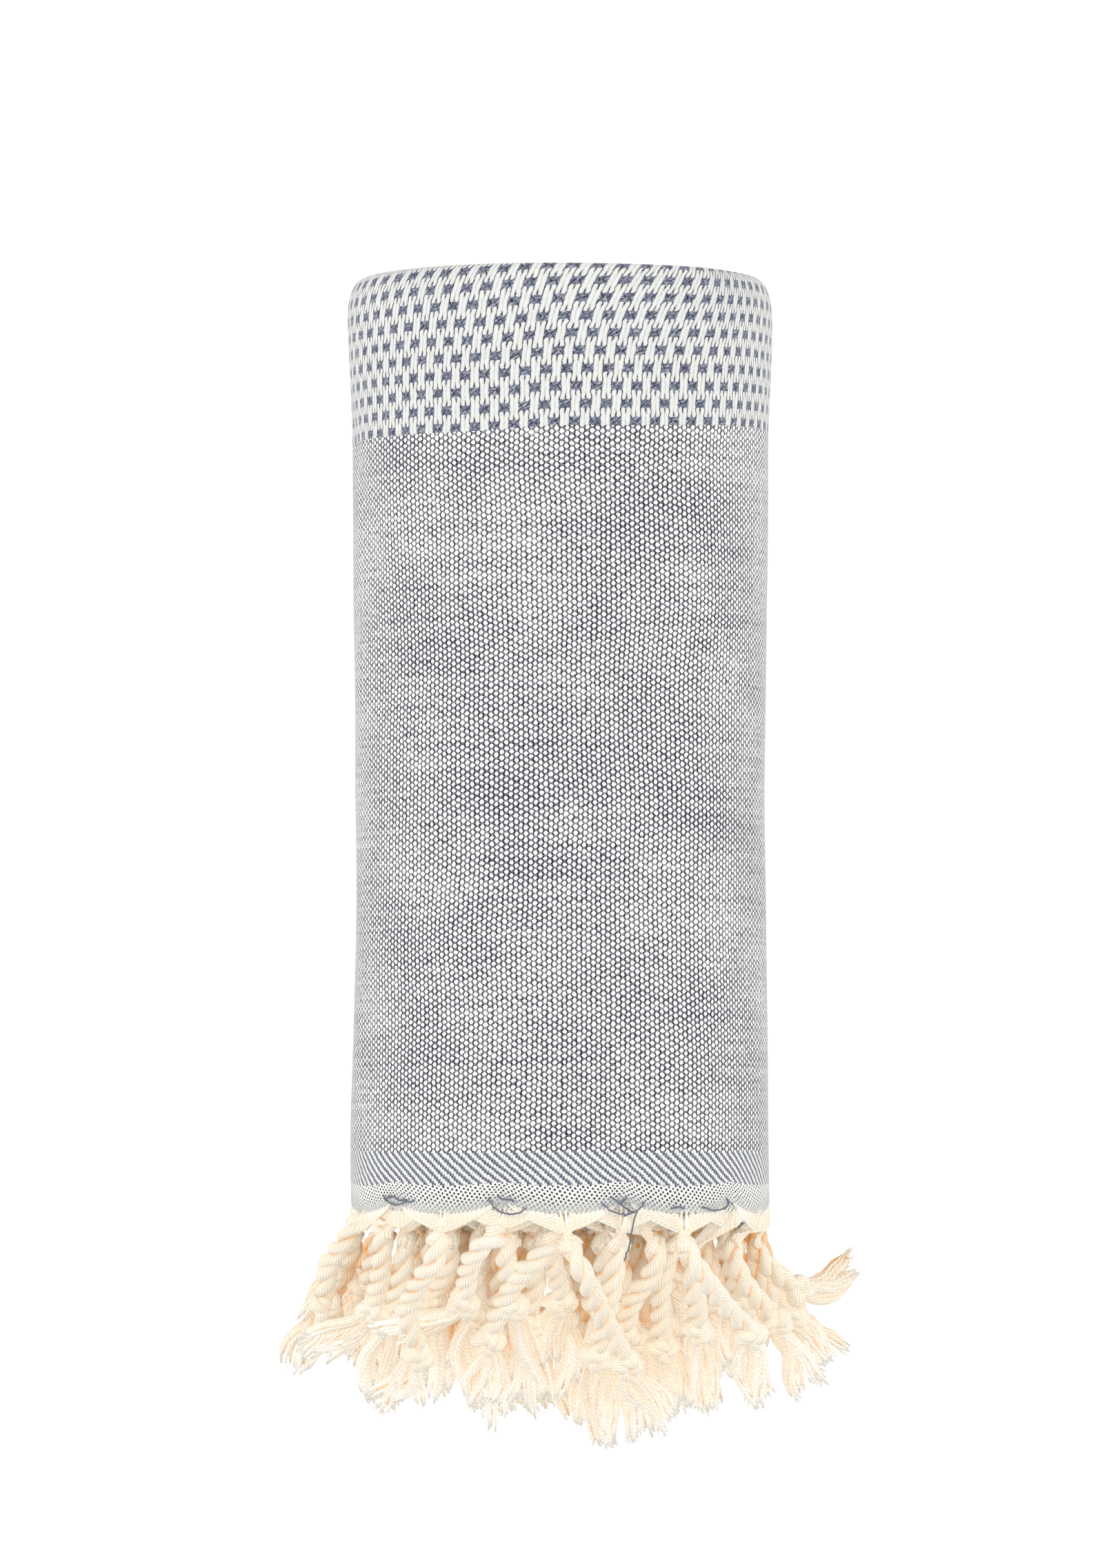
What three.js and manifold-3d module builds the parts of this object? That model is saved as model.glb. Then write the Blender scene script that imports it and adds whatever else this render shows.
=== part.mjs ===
// A flat-woven beach towel with knotted, twisted fringes. It is halved three times along its length,
// rolled up across its width and laid on its side. Millimetres, +Z up. +Y runs along the roll, from the
// fringed end to the folded end, and the origin is the middle of the flat spot that the roll rests on.
import * as THREE from "three";
import { mergeVertices } from "three/addons/utils/BufferGeometryUtils.js";
import Module from "manifold-3d";

const wasm = await Module();
wasm.setup();

// ---- The cloth and how it is folded ----
const TOWEL_WIDTH = 1000; // wound up in the roll
const TOWEL_LENGTH = 1800; // folded back and forth along Y
const HALVINGS = 3;
const LAYER = 0.87; // one layer of cloth with its share of air
const LAYERS = 2 ** HALVINGS;
const FOLD_LOSS = 3; // length that the folds take from the folded height
const HEIGHT = TOWEL_LENGTH / LAYERS - FOLD_LOSS;
const STACK = LAYERS * LAYER;

// ---- The roll ----
const TURN_GAP = 0.7;
const TURN_PITCH = STACK + TURN_GAP;
const OUTER_RADIUS = 50.7; // of the middle of the stack, at the roll's loose end
const SQUASH = 0.95; // height over width, from its own weight
const END_ANGLE = THREE.MathUtils.degToRad(300); // the loose end, under the roll
const CENTRE_X = 1.9; // sets the roll's width evenly about X = 0
const CENTRE_Z = 48.6; // low enough to press a flat spot into the outer turn
const FOLD_REACH = 9; // how far down the soft top fold rounds over
const EDGE_TAPER = 34; // length over which the layers end one after another
const EDGE_STACK = 0.45; // share of the stack that is left at the very end
const SEGMENT = 9.5; // length of a facet along the winding
const WIDEST_FACET = THREE.MathUtils.degToRad(32);

// The girth along the roll, as a share of its waist.
const GIRTHS = [
  { at: 0, girth: 1.016 },
  { at: 95, girth: 0.998 },
  { at: 180, girth: 1.014 },
  { at: 213, girth: 1.038 },
  { at: HEIGHT, girth: 1.038 },
];

// Soft flats and corners round the outer turn: where, how wide (both in degrees), and how far out.
const DENTS = [
  { at: 84, wide: 34, out: -2.6 },
  { at: 50, wide: 15, out: 0.9 },
  { at: 22, wide: 20, out: -0.7 },
  { at: 152, wide: 24, out: 0.6 },
];

// ---- The fringes ----
const TASSEL_PITCH = 27.5; // one tassel every so much of the towel's width
const TASSELS = Math.floor(TOWEL_WIDTH / TASSEL_PITCH);
const PIECE_GAP = 0.35;
const FLOOR_GAP = 0.3;
const ROOT_RADIUS = 0.8;
const CORD_RADIUS = 2.6;
const KNOT_RADIUS = 4.3;
const BRUSH_RADIUS = 4.6;
const HEM_NOTCH = 2.2; // depth of the gathered threads between two tassels
const HEM_DROP = 5.5; // and at a tassel
const NECK = 0.28; // where a cord bends over, as a share of the way to its knot
const NECK_HOLD = 0.8; // share of the root's height that it keeps there

// Each end of the towel: which share of the stack its layer takes, where its first tassel is, in
// tassels from the loose edge, and how far its tassels reach.
const ENDS = {
  outer: { from: 0.8, to: 1, first: 0.25, reach: 58 },
  inner: { from: 0.56, to: 0.75, first: 0.75, reach: 49 },
};

// How a tassel slumps: the share of the reach, how far it fans out, and the share of its height.
const SLUMP = {
  knot: { reach: 0.57, fan: 1.12, height: 0.7 },
  tip: { reach: 1, fan: 1.26, height: 0.48 },
};
const LOWEST = 3.5; // middle of a tassel that lies on the floor
const SIDE_PULL = 0.3; // how much less far the tassels at the sides reach

// The tassels on top, which lie as they fell: the end of the towel, the number from its loose edge,
// and the places of knot and tip.
const LAID = [
  { end: "outer", number: 4, knot: [-55, -24, 48], tip: [-63, -37, 34] },
  { end: "inner", number: 4, knot: [-45, -23, 62], tip: [-50, -42, 50] },
  { end: "outer", number: 5, knot: [-32, -34, 66], tip: [-40, -46, 52] },
  { end: "inner", number: 5, knot: [-23, -22, 82], tip: [-40, -27, 76] },
  { end: "outer", number: 6, knot: [15, -38, 72], tip: [22, -51, 60] },
  { end: "inner", number: 6, knot: [10, -22, 74], tip: [12, -40, 58] },
  { end: "outer", number: 7, knot: [45, -29, 66], tip: [44, -46, 52] },
  { end: "inner", number: 7, knot: [34, -30, 66], tip: [40, -44, 52] },
  { end: "outer", number: 8, knot: [51, -27, 42], tip: [64, -41, 28] },
  { end: "inner", number: 8, knot: [56, -20, 36], tip: [71, -15, 32] },
];

const radialStretch = (1 + SQUASH) / 2;
const WOUND = TOWEL_WIDTH / radialStretch;

// The angle turned back from the loose end after a length of winding.
function turnedBack(length) {
  const inner = OUTER_RADIUS ** 2 - (TURN_PITCH * length) / Math.PI;
  return ((OUTER_RADIUS - Math.sqrt(inner)) * 2 * Math.PI) / TURN_PITCH;
}

function girthAt(height) {
  const y = THREE.MathUtils.clamp(height, 0, HEIGHT);
  const after = Math.max(1, GIRTHS.findIndex((row) => row.at >= y));
  const [low, high] = [GIRTHS[after - 1], GIRTHS[after]];
  return THREE.MathUtils.mapLinear(y, low.at, high.at, low.girth, high.girth);
}

// How far the outer turn stands out at an angle, in degrees.
function dentAt(degrees) {
  return DENTS.reduce((sum, dent) => {
    const away = THREE.MathUtils.euclideanModulo(degrees - dent.at + 180, 360) - 180;
    return sum + dent.out * Math.exp(-((away / dent.wide) ** 2));
  }, 0);
}

// The share of the stack that is left at an angle turned back from the loose end.
function stackShare(back) {
  const along = Math.min(back / turnedBack(EDGE_TAPER), 1);
  return EDGE_STACK + (1 - EDGE_STACK) * along;
}

// A point of the winding: the angle turned back from the loose end, the share of the way from the
// stack's inner face to its outer face, and the height above the fringed edge.
function windingPoint(back, share, height) {
  const angle = END_ANGLE - back;
  const innerRadius = OUTER_RADIUS - (TURN_PITCH * back) / (2 * Math.PI) - STACK / 2;
  const girth = girthAt(height);
  const centreZ = CENTRE_Z + (girth - 1) * OUTER_RADIUS * SQUASH; // keeps the underside level
  const dent = dentAt(THREE.MathUtils.radToDeg(angle));
  const place = (r) => {
    const grown = (r + dent * (r / OUTER_RADIUS) ** 3) * girth;
    const x = CENTRE_X + grown * Math.cos(angle);
    const z = centreZ + grown * SQUASH * Math.sin(angle);
    return new THREE.Vector3(x, height, z);
  };
  const inner = place(innerRadius);
  const outer = place(innerRadius + STACK * stackShare(back));
  outer.z = Math.max(outer.z, 0);
  return inner.lerp(outer, share);
}

// A closed solid between rings that all have the same number of points, with flat or given ends.
function solidOf(vertices, triangles) {
  const geometry = new THREE.BufferGeometry().setFromPoints(vertices);
  geometry.setIndex(triangles);
  const merged = mergeVertices(geometry, 1e-4);
  const mesh = new wasm.Mesh({
    numProp: 3,
    vertProperties: merged.attributes.position.array,
    triVerts: new Uint32Array(merged.index.array),
  });
  const solid = new wasm.Manifold(mesh);
  if (solid.volume() > 0) return solid;
  const turned = triangles.map((_, i) => triangles[i - (i % 3) + (2 - (i % 3))]);
  return solidOf(vertices, turned);
}

function geometryOf(solid) {
  const { numProp, vertProperties, triVerts } = solid.getMesh();
  const geometry = new THREE.BufferGeometry();
  const places = new THREE.InterleavedBuffer(vertProperties, numProp);
  geometry.setAttribute("position", new THREE.InterleavedBufferAttribute(places, 3, 0));
  geometry.setIndex(new THREE.BufferAttribute(triVerts, 1));
  const plain = geometry.toNonIndexed();
  plain.computeVertexNormals();
  return plain;
}

// A strip of the winding: columns give the angle turned back, and levels give height and thickness.
// inner(column, level) and outer(column, level) return its two faces' points.
function stripSolid(columns, levels, inner, outer) {
  const across = columns.length;
  const vertices = [];
  for (let level = 0; level < levels; level++) {
    columns.forEach((column) => vertices.push(outer(column, level)));
    columns.forEach((column) => vertices.push(inner(column, level)));
  }
  const at = (level, face, column) => (level * 2 + face) * across + column;
  const triangles = [];
  const quad = (a, b, c, d) => triangles.push(a, b, c, a, c, d);
  const top = levels - 1;
  for (let i = 0; i + 1 < across; i++) {
    for (let k = 0; k < top; k++) {
      quad(at(k, 0, i), at(k, 0, i + 1), at(k + 1, 0, i + 1), at(k + 1, 0, i));
      quad(at(k, 1, i + 1), at(k, 1, i), at(k + 1, 1, i), at(k + 1, 1, i + 1));
    }
    quad(at(0, 1, i), at(0, 1, i + 1), at(0, 0, i + 1), at(0, 0, i));
    quad(at(top, 0, i), at(top, 0, i + 1), at(top, 1, i + 1), at(top, 1, i));
  }
  const last = across - 1;
  for (let k = 0; k < top; k++) {
    quad(at(k, 1, 0), at(k, 0, 0), at(k + 1, 0, 0), at(k + 1, 1, 0));
    quad(at(k, 0, last), at(k, 1, last), at(k + 1, 1, last), at(k + 1, 0, last));
  }
  return solidOf(vertices, triangles);
}

// The angles of the roll's facets, from the loose end to the core.
function windingColumns() {
  const whole = turnedBack(WOUND);
  const columns = [0];
  while (columns.at(-1) < whole) {
    const radius = OUTER_RADIUS - (TURN_PITCH * columns.at(-1)) / (2 * Math.PI);
    const step = Math.min(SEGMENT / radius, WIDEST_FACET);
    columns.push(Math.min(columns.at(-1) + step, whole));
  }
  if (columns.at(-1) - columns.at(-2) < 0.05) columns.splice(-2, 1);
  return columns;
}

// The levels of the roll: its girths, and then the fold that rounds over the folded end.
function rollLevels() {
  const shoulder = HEIGHT - FOLD_REACH;
  const straight = GIRTHS.filter((row) => row.at < shoulder).map((row) => row.at);
  const levels = [...straight, shoulder].map((height) => ({ height, thick: 1 }));
  for (const degrees of [40, 72]) {
    const turn = THREE.MathUtils.degToRad(degrees);
    const height = shoulder + FOLD_REACH * Math.sin(turn);
    levels.push({ height, thick: Math.cos(turn) });
  }
  return levels;
}

// The wound cloth: one thick sheet, the eight layers of the folded towel, in a spiral.
function towelSolid() {
  const levels = rollLevels();
  const face = (side) => (back, level) => {
    const { height, thick } = levels[level];
    return windingPoint(back, 0.5 + side * 0.5 * thick, height);
  };
  return stripSolid(windingColumns(), levels.length, face(-1), face(1));
}

// Where a tassel leaves the cloth, as the angle turned back from the loose end.
function tasselBack(end, number) {
  const length = (number + ENDS[end].first) * TASSEL_PITCH;
  return turnedBack(length / radialStretch);
}

// Where a tassel lies: its root, neck, knot and tip. One that isn't in the table slumps and fans out.
function tasselRoute(end, number) {
  const { from, to, reach } = ENDS[end];
  const root = windingPoint(tasselBack(end, number), (from + to) / 2, 0);
  const pulled = 1 - SIDE_PULL * (root.x / OUTER_RADIUS) ** 2;
  const slumped = (rule) => {
    const height = LOWEST + (root.z - LOWEST) * rule.height;
    return new THREE.Vector3(root.x * rule.fan, -reach * rule.reach * pulled, height);
  };
  const laid = LAID.find((row) => row.end === end && row.number === number);
  const knot = laid ? new THREE.Vector3(...laid.knot) : slumped(SLUMP.knot);
  const tip = laid ? new THREE.Vector3(...laid.tip) : slumped(SLUMP.tip);
  const neck = root.clone().lerp(knot, NECK);
  neck.z = THREE.MathUtils.lerp(neck.z, root.z, NECK_HOLD);
  const hem = root.clone().setY(-HEM_NOTCH);
  return { route: [hem, neck, knot, tip], detailed: Boolean(laid) };
}

// A round strand through some points: stations along it, each with its own radius.
function strandSolid(points, stations, sides, grow) {
  const curve = new THREE.CatmullRomCurve3(points);
  const frames = curve.computeFrenetFrames(stations.length - 1);
  const vertices = [];
  stations.forEach(({ at, radius }, ring) => {
    const wide = radius + grow;
    const centre = curve.getPointAt(at);
    centre.z = Math.max(centre.z, radius + FLOOR_GAP);
    for (let i = 0; i < sides; i++) {
      const turn = (i / sides) * 2 * Math.PI;
      const out = frames.normals[ring].clone().multiplyScalar(Math.cos(turn));
      out.addScaledVector(frames.binormals[ring], Math.sin(turn));
      vertices.push(centre.clone().addScaledVector(out, wide));
    }
  });
  const triangles = [];
  for (let ring = 0; ring + 1 < stations.length; ring++) {
    for (let i = 0; i < sides; i++) {
      const [a, b] = [ring * sides + i, ring * sides + ((i + 1) % sides)];
      triangles.push(a, b, b + sides, a, b + sides, a + sides);
    }
  }
  const lastRing = (stations.length - 1) * sides;
  for (let i = 1; i + 1 < sides; i++) {
    triangles.push(0, i + 1, i, lastRing, lastRing + i, lastRing + i + 1);
  }
  return solidOf(vertices, triangles);
}

// The stations of a tassel that shows whole, and of one in the pile, as shares of its length.
const DETAILED_STATIONS = [
  { at: 0, radius: ROOT_RADIUS },
  { at: 0.12, radius: CORD_RADIUS },
  { at: 0.5, radius: CORD_RADIUS },
  { at: 0.58, radius: KNOT_RADIUS },
  { at: 0.68, radius: KNOT_RADIUS * 0.9 },
  { at: 0.74, radius: BRUSH_RADIUS * 0.65 },
  { at: 1, radius: BRUSH_RADIUS },
];
const PLAIN_STATIONS = [
  { at: 0, radius: ROOT_RADIUS },
  { at: 0.2, radius: CORD_RADIUS },
  { at: 0.6, radius: KNOT_RADIUS * 0.75 },
  { at: 1, radius: BRUSH_RADIUS * 0.7 },
];

// The threads below one edge of the towel: a scalloped band that follows the winding, and its tassels.
function fringeSolid(end, grow = 0) {
  const { from, to, first } = ENDS[end];
  const spare = grow / STACK;
  const halves = Array.from({ length: 2 * TASSELS - 1 }, (_, i) => i / 2);
  const columns = halves.map((number) => {
    const back = turnedBack(((number + first) * TASSEL_PITCH) / radialStretch);
    const drop = Number.isInteger(number) ? HEM_DROP : HEM_NOTCH;
    return { back, drop };
  });
  const face = (share) => (column, level) => {
    const point = windingPoint(column.back, share, 0);
    point.y = level ? grow - PIECE_GAP : -column.drop - grow;
    return point;
  };
  let comb = stripSolid(columns, 2, face(from - spare), face(to + spare));
  for (let number = 0; number < TASSELS; number++) {
    const { route, detailed } = tasselRoute(end, number);
    const [stations, sides] = detailed ? [DETAILED_STATIONS, 6] : [PLAIN_STATIONS, 4];
    comb = comb.add(strandSolid(route, stations, sides, grow));
  }
  return comb;
}

// What is left of one fringe where the other lies through it.
function largestBody(solid) {
  const bodies = solid.decompose();
  return bodies.sort((a, b) => b.volume() - a.volume())[0];
}

const cotton = (color) => new THREE.MeshStandardMaterial({ color, roughness: 0.95, metalness: 0 });

function piece(name, solid, material) {
  const mesh = new THREE.Mesh(geometryOf(solid), material);
  mesh.name = name;
  return mesh;
}

const WOVEN_GREY = cotton(0xb9bec2);
const CREAM_YARN = cotton(0xf6ead2);

const outerFringe = largestBody(fringeSolid("outer"));
const innerFringe = largestBody(fringeSolid("inner").subtract(fringeSolid("outer", PIECE_GAP)));

const rolledTowel = new THREE.Group();
rolledTowel.position.y = -HEIGHT / 2;
rolledTowel.add(piece("towel", towelSolid(), WOVEN_GREY));
rolledTowel.add(piece("outer_fringe", outerFringe, CREAM_YARN));
rolledTowel.add(piece("inner_fringe", innerFringe, CREAM_YARN));

const part = new THREE.Group();
part.add(rolledTowel);

export default part;
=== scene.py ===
import math
from collections import namedtuple

import bpy
import numpy as np
from bpy.props import FloatProperty, FloatVectorProperty, IntProperty, PointerProperty
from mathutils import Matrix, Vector


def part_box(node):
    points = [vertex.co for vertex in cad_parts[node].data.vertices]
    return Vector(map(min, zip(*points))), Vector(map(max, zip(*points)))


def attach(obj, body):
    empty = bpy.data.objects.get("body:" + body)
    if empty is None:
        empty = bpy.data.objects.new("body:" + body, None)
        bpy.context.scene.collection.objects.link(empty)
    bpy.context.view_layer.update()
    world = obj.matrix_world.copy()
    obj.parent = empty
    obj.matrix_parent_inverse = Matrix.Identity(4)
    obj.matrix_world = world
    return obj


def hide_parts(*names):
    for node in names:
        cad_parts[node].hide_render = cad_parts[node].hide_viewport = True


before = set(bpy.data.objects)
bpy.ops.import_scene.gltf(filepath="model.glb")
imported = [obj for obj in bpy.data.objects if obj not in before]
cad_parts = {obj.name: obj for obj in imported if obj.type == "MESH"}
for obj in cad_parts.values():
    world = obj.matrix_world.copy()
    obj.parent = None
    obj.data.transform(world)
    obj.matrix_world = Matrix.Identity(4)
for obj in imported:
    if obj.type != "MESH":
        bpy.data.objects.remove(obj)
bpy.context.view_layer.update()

bl_info = {
    "name": "Rolled Beach Towel",
    "version": (1, 0, 0),
    "blender": (4, 5, 0),
    "location": "View3D > Sidebar > Towel",
    "description": "Builds a flat-woven beach towel, folded in eight and rolled, with its knotted fringes",
    "category": "Add Mesh",
}

TOWEL_LOW, TOWEL_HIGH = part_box("towel")
HEM_Y = TOWEL_LOW.y
FOLD_HEIGHT = TOWEL_HIGH.y - TOWEL_LOW.y
TURN = 2 * math.pi
MM = 0.001


# ---- Sizes and colours ----


def length(name, description, default):
    return FloatProperty(
        name=name, description=description, default=default, unit="LENGTH", precision=5, min=0
    )


def share(name, description, default):
    return FloatProperty(name=name, description=description, default=default, min=0, max=2)


def power(name, description, default):
    return FloatProperty(name=name, description=description, default=default, unit="POWER", min=0)


def angle(name, description, degrees):
    return FloatProperty(
        name=name, description=description, default=math.radians(degrees), subtype="ANGLE"
    )


def colour(name, description, default):
    return FloatVectorProperty(
        name=name, description=description, default=default, size=3, subtype="COLOR", min=0, max=1
    )


class RollSizes(bpy.types.PropertyGroup):
    width: length("Towel width", "Width of the cloth, which is wound up", 1.0)
    length: length("Towel length", "Length of the cloth, which is folded in eight", 1.8)
    layer: length("Layer pitch", "One folded layer with its share of air", 0.87 * MM)
    cloth: length("Cloth thickness", "Thickness of the cloth itself", 0.56 * MM)
    turn_gap: length("Turn gap", "Air between two turns of the roll", 0.7 * MM)
    outer_radius: length("Outer radius", "Middle of the stack at the loose edge", 50.7 * MM)
    squash: share("Squash", "Height of the roll over its width", 0.95)
    end_angle: angle("Loose edge", "Where the loose edge lies round the roll", 300)
    centre_x: length("Centre X", "Sideways place of the roll's middle", 1.9 * MM)
    centre_z: length("Centre height", "Height of the roll's middle at its waist", 48.6 * MM)
    folded: length("Folded length", "Height of the stack: an eighth of the towel, less its folds", 0.222)
    fold_reach: length("Fold reach", "How far down the outer fold rounds over", 9.0 * MM)


class WeaveLooks(bpy.types.PropertyGroup):
    end_pitch: length("Warp pitch", "From one warp thread to the next", 1.11 * MM)
    pick_pitch: length("Pick pitch", "From one weft thread to the next", 0.744 * MM)
    hem_band: length("White band", "Width of the pale band at each end", 6.7 * MM)
    twill_band: length("Twill band", "Where the twill band stops", 15.0 * MM)
    check_from: length("Check from", "Where the check border starts", 191.0 * MM)
    check_to: length("Check to", "Where the check border stops", 276.2 * MM)
    check_row: length("Check row", "From one row of the check to the next", 4.18 * MM)
    check_end: length("Check pitch", "Warp pitch in the check border", 1.12 * MM)
    warp: colour("Warp colour", "White warp threads", (0.80, 0.80, 0.77))
    weft: colour("Weft colour", "Blue-grey weft threads", (0.148, 0.165, 0.235))
    gap: colour("Gap colour", "Shade between the threads", (0.018, 0.017, 0.026))


class FringeSizes(bpy.types.PropertyGroup):
    pitch: length("Tassel pitch", "Width of cloth that one tassel takes", 27.5 * MM)
    strand: length("Strand radius", "Radius of each of a cord's two strands", 1.53 * MM)
    lay: length("Strand offset", "From the cord's middle to a strand's middle", 1.1 * MM)
    twist: length("Twist pitch", "Length of one full twist of the cord", 12.2 * MM)
    knot: length("Knot loop", "Size of the loops in a knot", 0.78 * MM)
    yarn: length("Yarn radius", "Radius of a loose yarn in a tassel's brush", 0.45 * MM)
    yarns: IntProperty(name="Yarns", description="Loose yarns in each brush", default=44, min=8)
    warps: IntProperty(name="Warps", description="Warp threads in each tassel", default=24, min=4)
    cream: colour("Yarn colour", "Undyed cotton of the fringes", (0.945, 0.855, 0.71))


class StageLooks(bpy.types.PropertyGroup):
    floor: colour("Floor colour", "Plain pale floor", (0.86, 0.86, 0.86))
    sky: FloatProperty(name="Fill light", description="Strength of the even light", default=0.66, min=0)
    side: power("Side lights", "Power of each side lamp", 10.0)
    front: power("Front light", "Power of the lamp above", 5.0)
    lens: FloatProperty(name="Lens", description="Focal length", default=192, unit="CAMERA", min=10)
    distance: length("Camera height", "Height of the camera above the roll's middle", 2.02)


def roll_sizes():
    return bpy.context.scene.towel_roll


def weave_looks():
    return bpy.context.scene.towel_weave


def fringe_sizes():
    return bpy.context.scene.towel_fringe


def stage_looks():
    return bpy.context.scene.towel_stage


# ---- The winding: the same spiral as the solids have ----

# The girth along the roll, as a share of its waist, at heights above the fringed edge.
Girth = namedtuple("Girth", "height girth")
GIRTHS = (
    Girth(0, 1.016),
    Girth(95 * MM, 0.998),
    Girth(180 * MM, 1.014),
    Girth(213 * MM, 1.038),
)

# Soft flats and corners round the outer turn: where and how wide, in degrees, and how far out.
Dent = namedtuple("Dent", "at wide out")
DENTS = (
    Dent(84, 34, -2.6 * MM),
    Dent(50, 15, 0.9 * MM),
    Dent(22, 20, -0.7 * MM),
    Dent(152, 24, 0.6 * MM),
)

# Shallow creases pressed into the outer turn: from one angle and height to another.
Crease = namedtuple("Crease", "angle_from angle_to height_from height_to wide out")
CREASES = (
    Crease(92, 34, 100 * MM, 107 * MM, 1.6 * MM, -0.34 * MM),
    Crease(92, 30, 104 * MM, 111.5 * MM, 2.6 * MM, 0.26 * MM),
    Crease(165, 96, 103 * MM, 100 * MM, 1.8 * MM, -0.14 * MM),
    Crease(104, 76, 52 * MM, 53.5 * MM, 1.5 * MM, -0.16 * MM),
    Crease(70, 20, 168 * MM, 186 * MM, 6.0 * MM, -0.45 * MM),
    Crease(150, 175, 150 * MM, 190 * MM, 7.0 * MM, -0.35 * MM),
)

# Broad unevenness of the outer turns: waves round the roll, waves along it, phase and size.
Swell = namedtuple("Swell", "round along phase out")
SWELLS = (
    Swell(2, 1.3, 0.4, 0.26 * MM),
    Swell(5, 2.2, 2.1, 0.16 * MM),
    Swell(9, 3.1, 4.4, 0.10 * MM),
    Swell(13, 5.2, 1.2, 0.07 * MM),
)

EDGE_TAPER = 34 * MM  # length over which the layers end one after another
EDGE_STACK = 0.45  # share of the stack that is left at the very end


def smooth(x):
    x = np.clip(x, 0, 1)
    return x * x * (3 - 2 * x)


def stack_of(roll):
    return 8 * roll.layer


def turn_pitch(roll):
    return stack_of(roll) + roll.turn_gap


def wound_length(roll):
    """Length of the winding, before the roll is squashed, that the towel's width fills."""
    return roll.width / ((1 + roll.squash) / 2)


def turned_back(roll, wound):
    """The angle turned back from the loose edge after a length of winding."""
    inner = roll.outer_radius**2 - turn_pitch(roll) * np.asarray(wound) / math.pi
    return (roll.outer_radius - np.sqrt(inner)) * TURN / turn_pitch(roll)


def girth_at(height):
    heights = np.array([g.height for g in GIRTHS])
    girths = np.array([g.girth for g in GIRTHS])
    height = np.clip(height, heights[0], heights[-1])
    row = np.clip(np.searchsorted(heights, height) - 1, 0, len(heights) - 2)
    along = (height - heights[row]) / (heights[row + 1] - heights[row])
    return girths[row] + (girths[row + 1] - girths[row]) * smooth(along)


def dent_at(degrees):
    out = np.zeros_like(degrees)
    for dent in DENTS:
        away = (degrees - dent.at + 180) % 360 - 180
        out += dent.out * np.exp(-((away / dent.wide) ** 2))
    return out


def relief_at(degrees, height):
    """Creases and swells of the outer turns."""
    out = np.zeros(np.broadcast(degrees, height).shape)
    for c in CREASES:
        along = ((degrees - c.angle_from + 180) % 360 - 180) / (c.angle_to - c.angle_from)
        line = c.height_from + (c.height_to - c.height_from) * along
        ends = smooth((along + 0.15) / 0.3) * smooth((1.15 - along) / 0.3)
        out += c.out * ends * np.exp(-(((height - line) / c.wide) ** 2))
    turns = np.radians(degrees)
    for s in SWELLS:
        waves = np.sin(s.round * turns + s.phase) * np.cos(TURN * s.along * height / FOLD_HEIGHT + s.phase)
        out += s.out * waves
    return out


def winding_points(roll, back, place, height):
    """Points of the winding, from the angle turned back from the loose edge, the share of the way
    from the stack's inner face to its outer face, and the height above the fringed edge."""
    back, place, height = np.broadcast_arrays(back, place, height)
    radians = roll.end_angle - back
    degrees = np.degrees(radians)
    left = np.minimum(back / turned_back(roll, EDGE_TAPER), 1)
    left = EDGE_STACK + (1 - EDGE_STACK) * left
    inner_radius = roll.outer_radius - turn_pitch(roll) * back / TURN - stack_of(roll) / 2
    girth = girth_at(height)
    centre_z = roll.centre_z + (girth - 1) * roll.outer_radius * roll.squash
    relief = relief_at(degrees, height) * np.clip(1.4 - back / TURN, 0, 1)

    def at(radius):
        grown = radius + (dent_at(degrees) + relief) * (radius / roll.outer_radius) ** 3
        grown = grown * girth
        x = roll.centre_x + grown * np.cos(radians)
        z = centre_z + grown * roll.squash * np.sin(radians)
        return np.stack([x, HEM_Y + height, z], -1)

    inner = at(inner_radius)
    outer = at(inner_radius + stack_of(roll) * left)
    outer[..., 2] = np.maximum(outer[..., 2], 0)
    return inner + (outer - inner) * place[..., None]


# ---- Meshes from arrays ----


class Bunch:
    """Gathers surfaces into one mesh. Corners carry a map, and vertices a tone."""

    def __init__(self):
        self.vertices, self.tones, self.faces, self.maps, self.sizes = [], [], [], [], []
        self.count = 0

    def add(self, vertices, faces, maps, tone=0.0):
        """faces: rows of vertex numbers, all with the same number of corners."""
        vertices = np.asarray(vertices, float).reshape(-1, 3)
        self.vertices.append(vertices)
        self.tones.append(np.broadcast_to(tone, len(vertices)).astype(float))
        for rows, places in zip(faces, maps):
            self.faces.append((rows + self.count).ravel())
            self.maps.append(places.reshape(-1, 2))
            self.sizes.append(np.full(len(rows), rows.shape[1]))
        self.count += len(vertices)

    def object(self, name, material):
        vertices = np.concatenate(self.vertices)
        corners = np.concatenate(self.faces).astype(np.int32)
        sizes = np.concatenate(self.sizes).astype(np.int32)
        mesh = bpy.data.meshes.new(name)
        mesh.vertices.add(len(vertices))
        mesh.vertices.foreach_set("co", vertices.ravel())
        mesh.loops.add(len(corners))
        mesh.loops.foreach_set("vertex_index", corners)
        mesh.polygons.add(len(sizes))
        mesh.polygons.foreach_set("loop_start", np.concatenate([[0], np.cumsum(sizes)[:-1]]))
        mesh.polygons.foreach_set("use_smooth", np.ones(len(sizes), bool))
        mesh.uv_layers.new(name="Thread").uv.foreach_set(
            "vector", np.concatenate(self.maps).astype(np.float32).ravel()
        )
        tone = mesh.attributes.new("tone", "FLOAT", "POINT")
        tone.data.foreach_set("value", np.concatenate(self.tones))
        mesh.update(calc_edges=True)
        if mesh.validate():
            raise RuntimeError(f"{name} has faces that aren't sound")
        mesh.materials.append(material)
        made = bpy.data.objects.new(name, mesh)
        bpy.context.scene.collection.objects.link(made)
        return made


def unit(vectors):
    return vectors / np.maximum(np.linalg.norm(vectors, axis=-1, keepdims=True), 1e-12)


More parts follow.
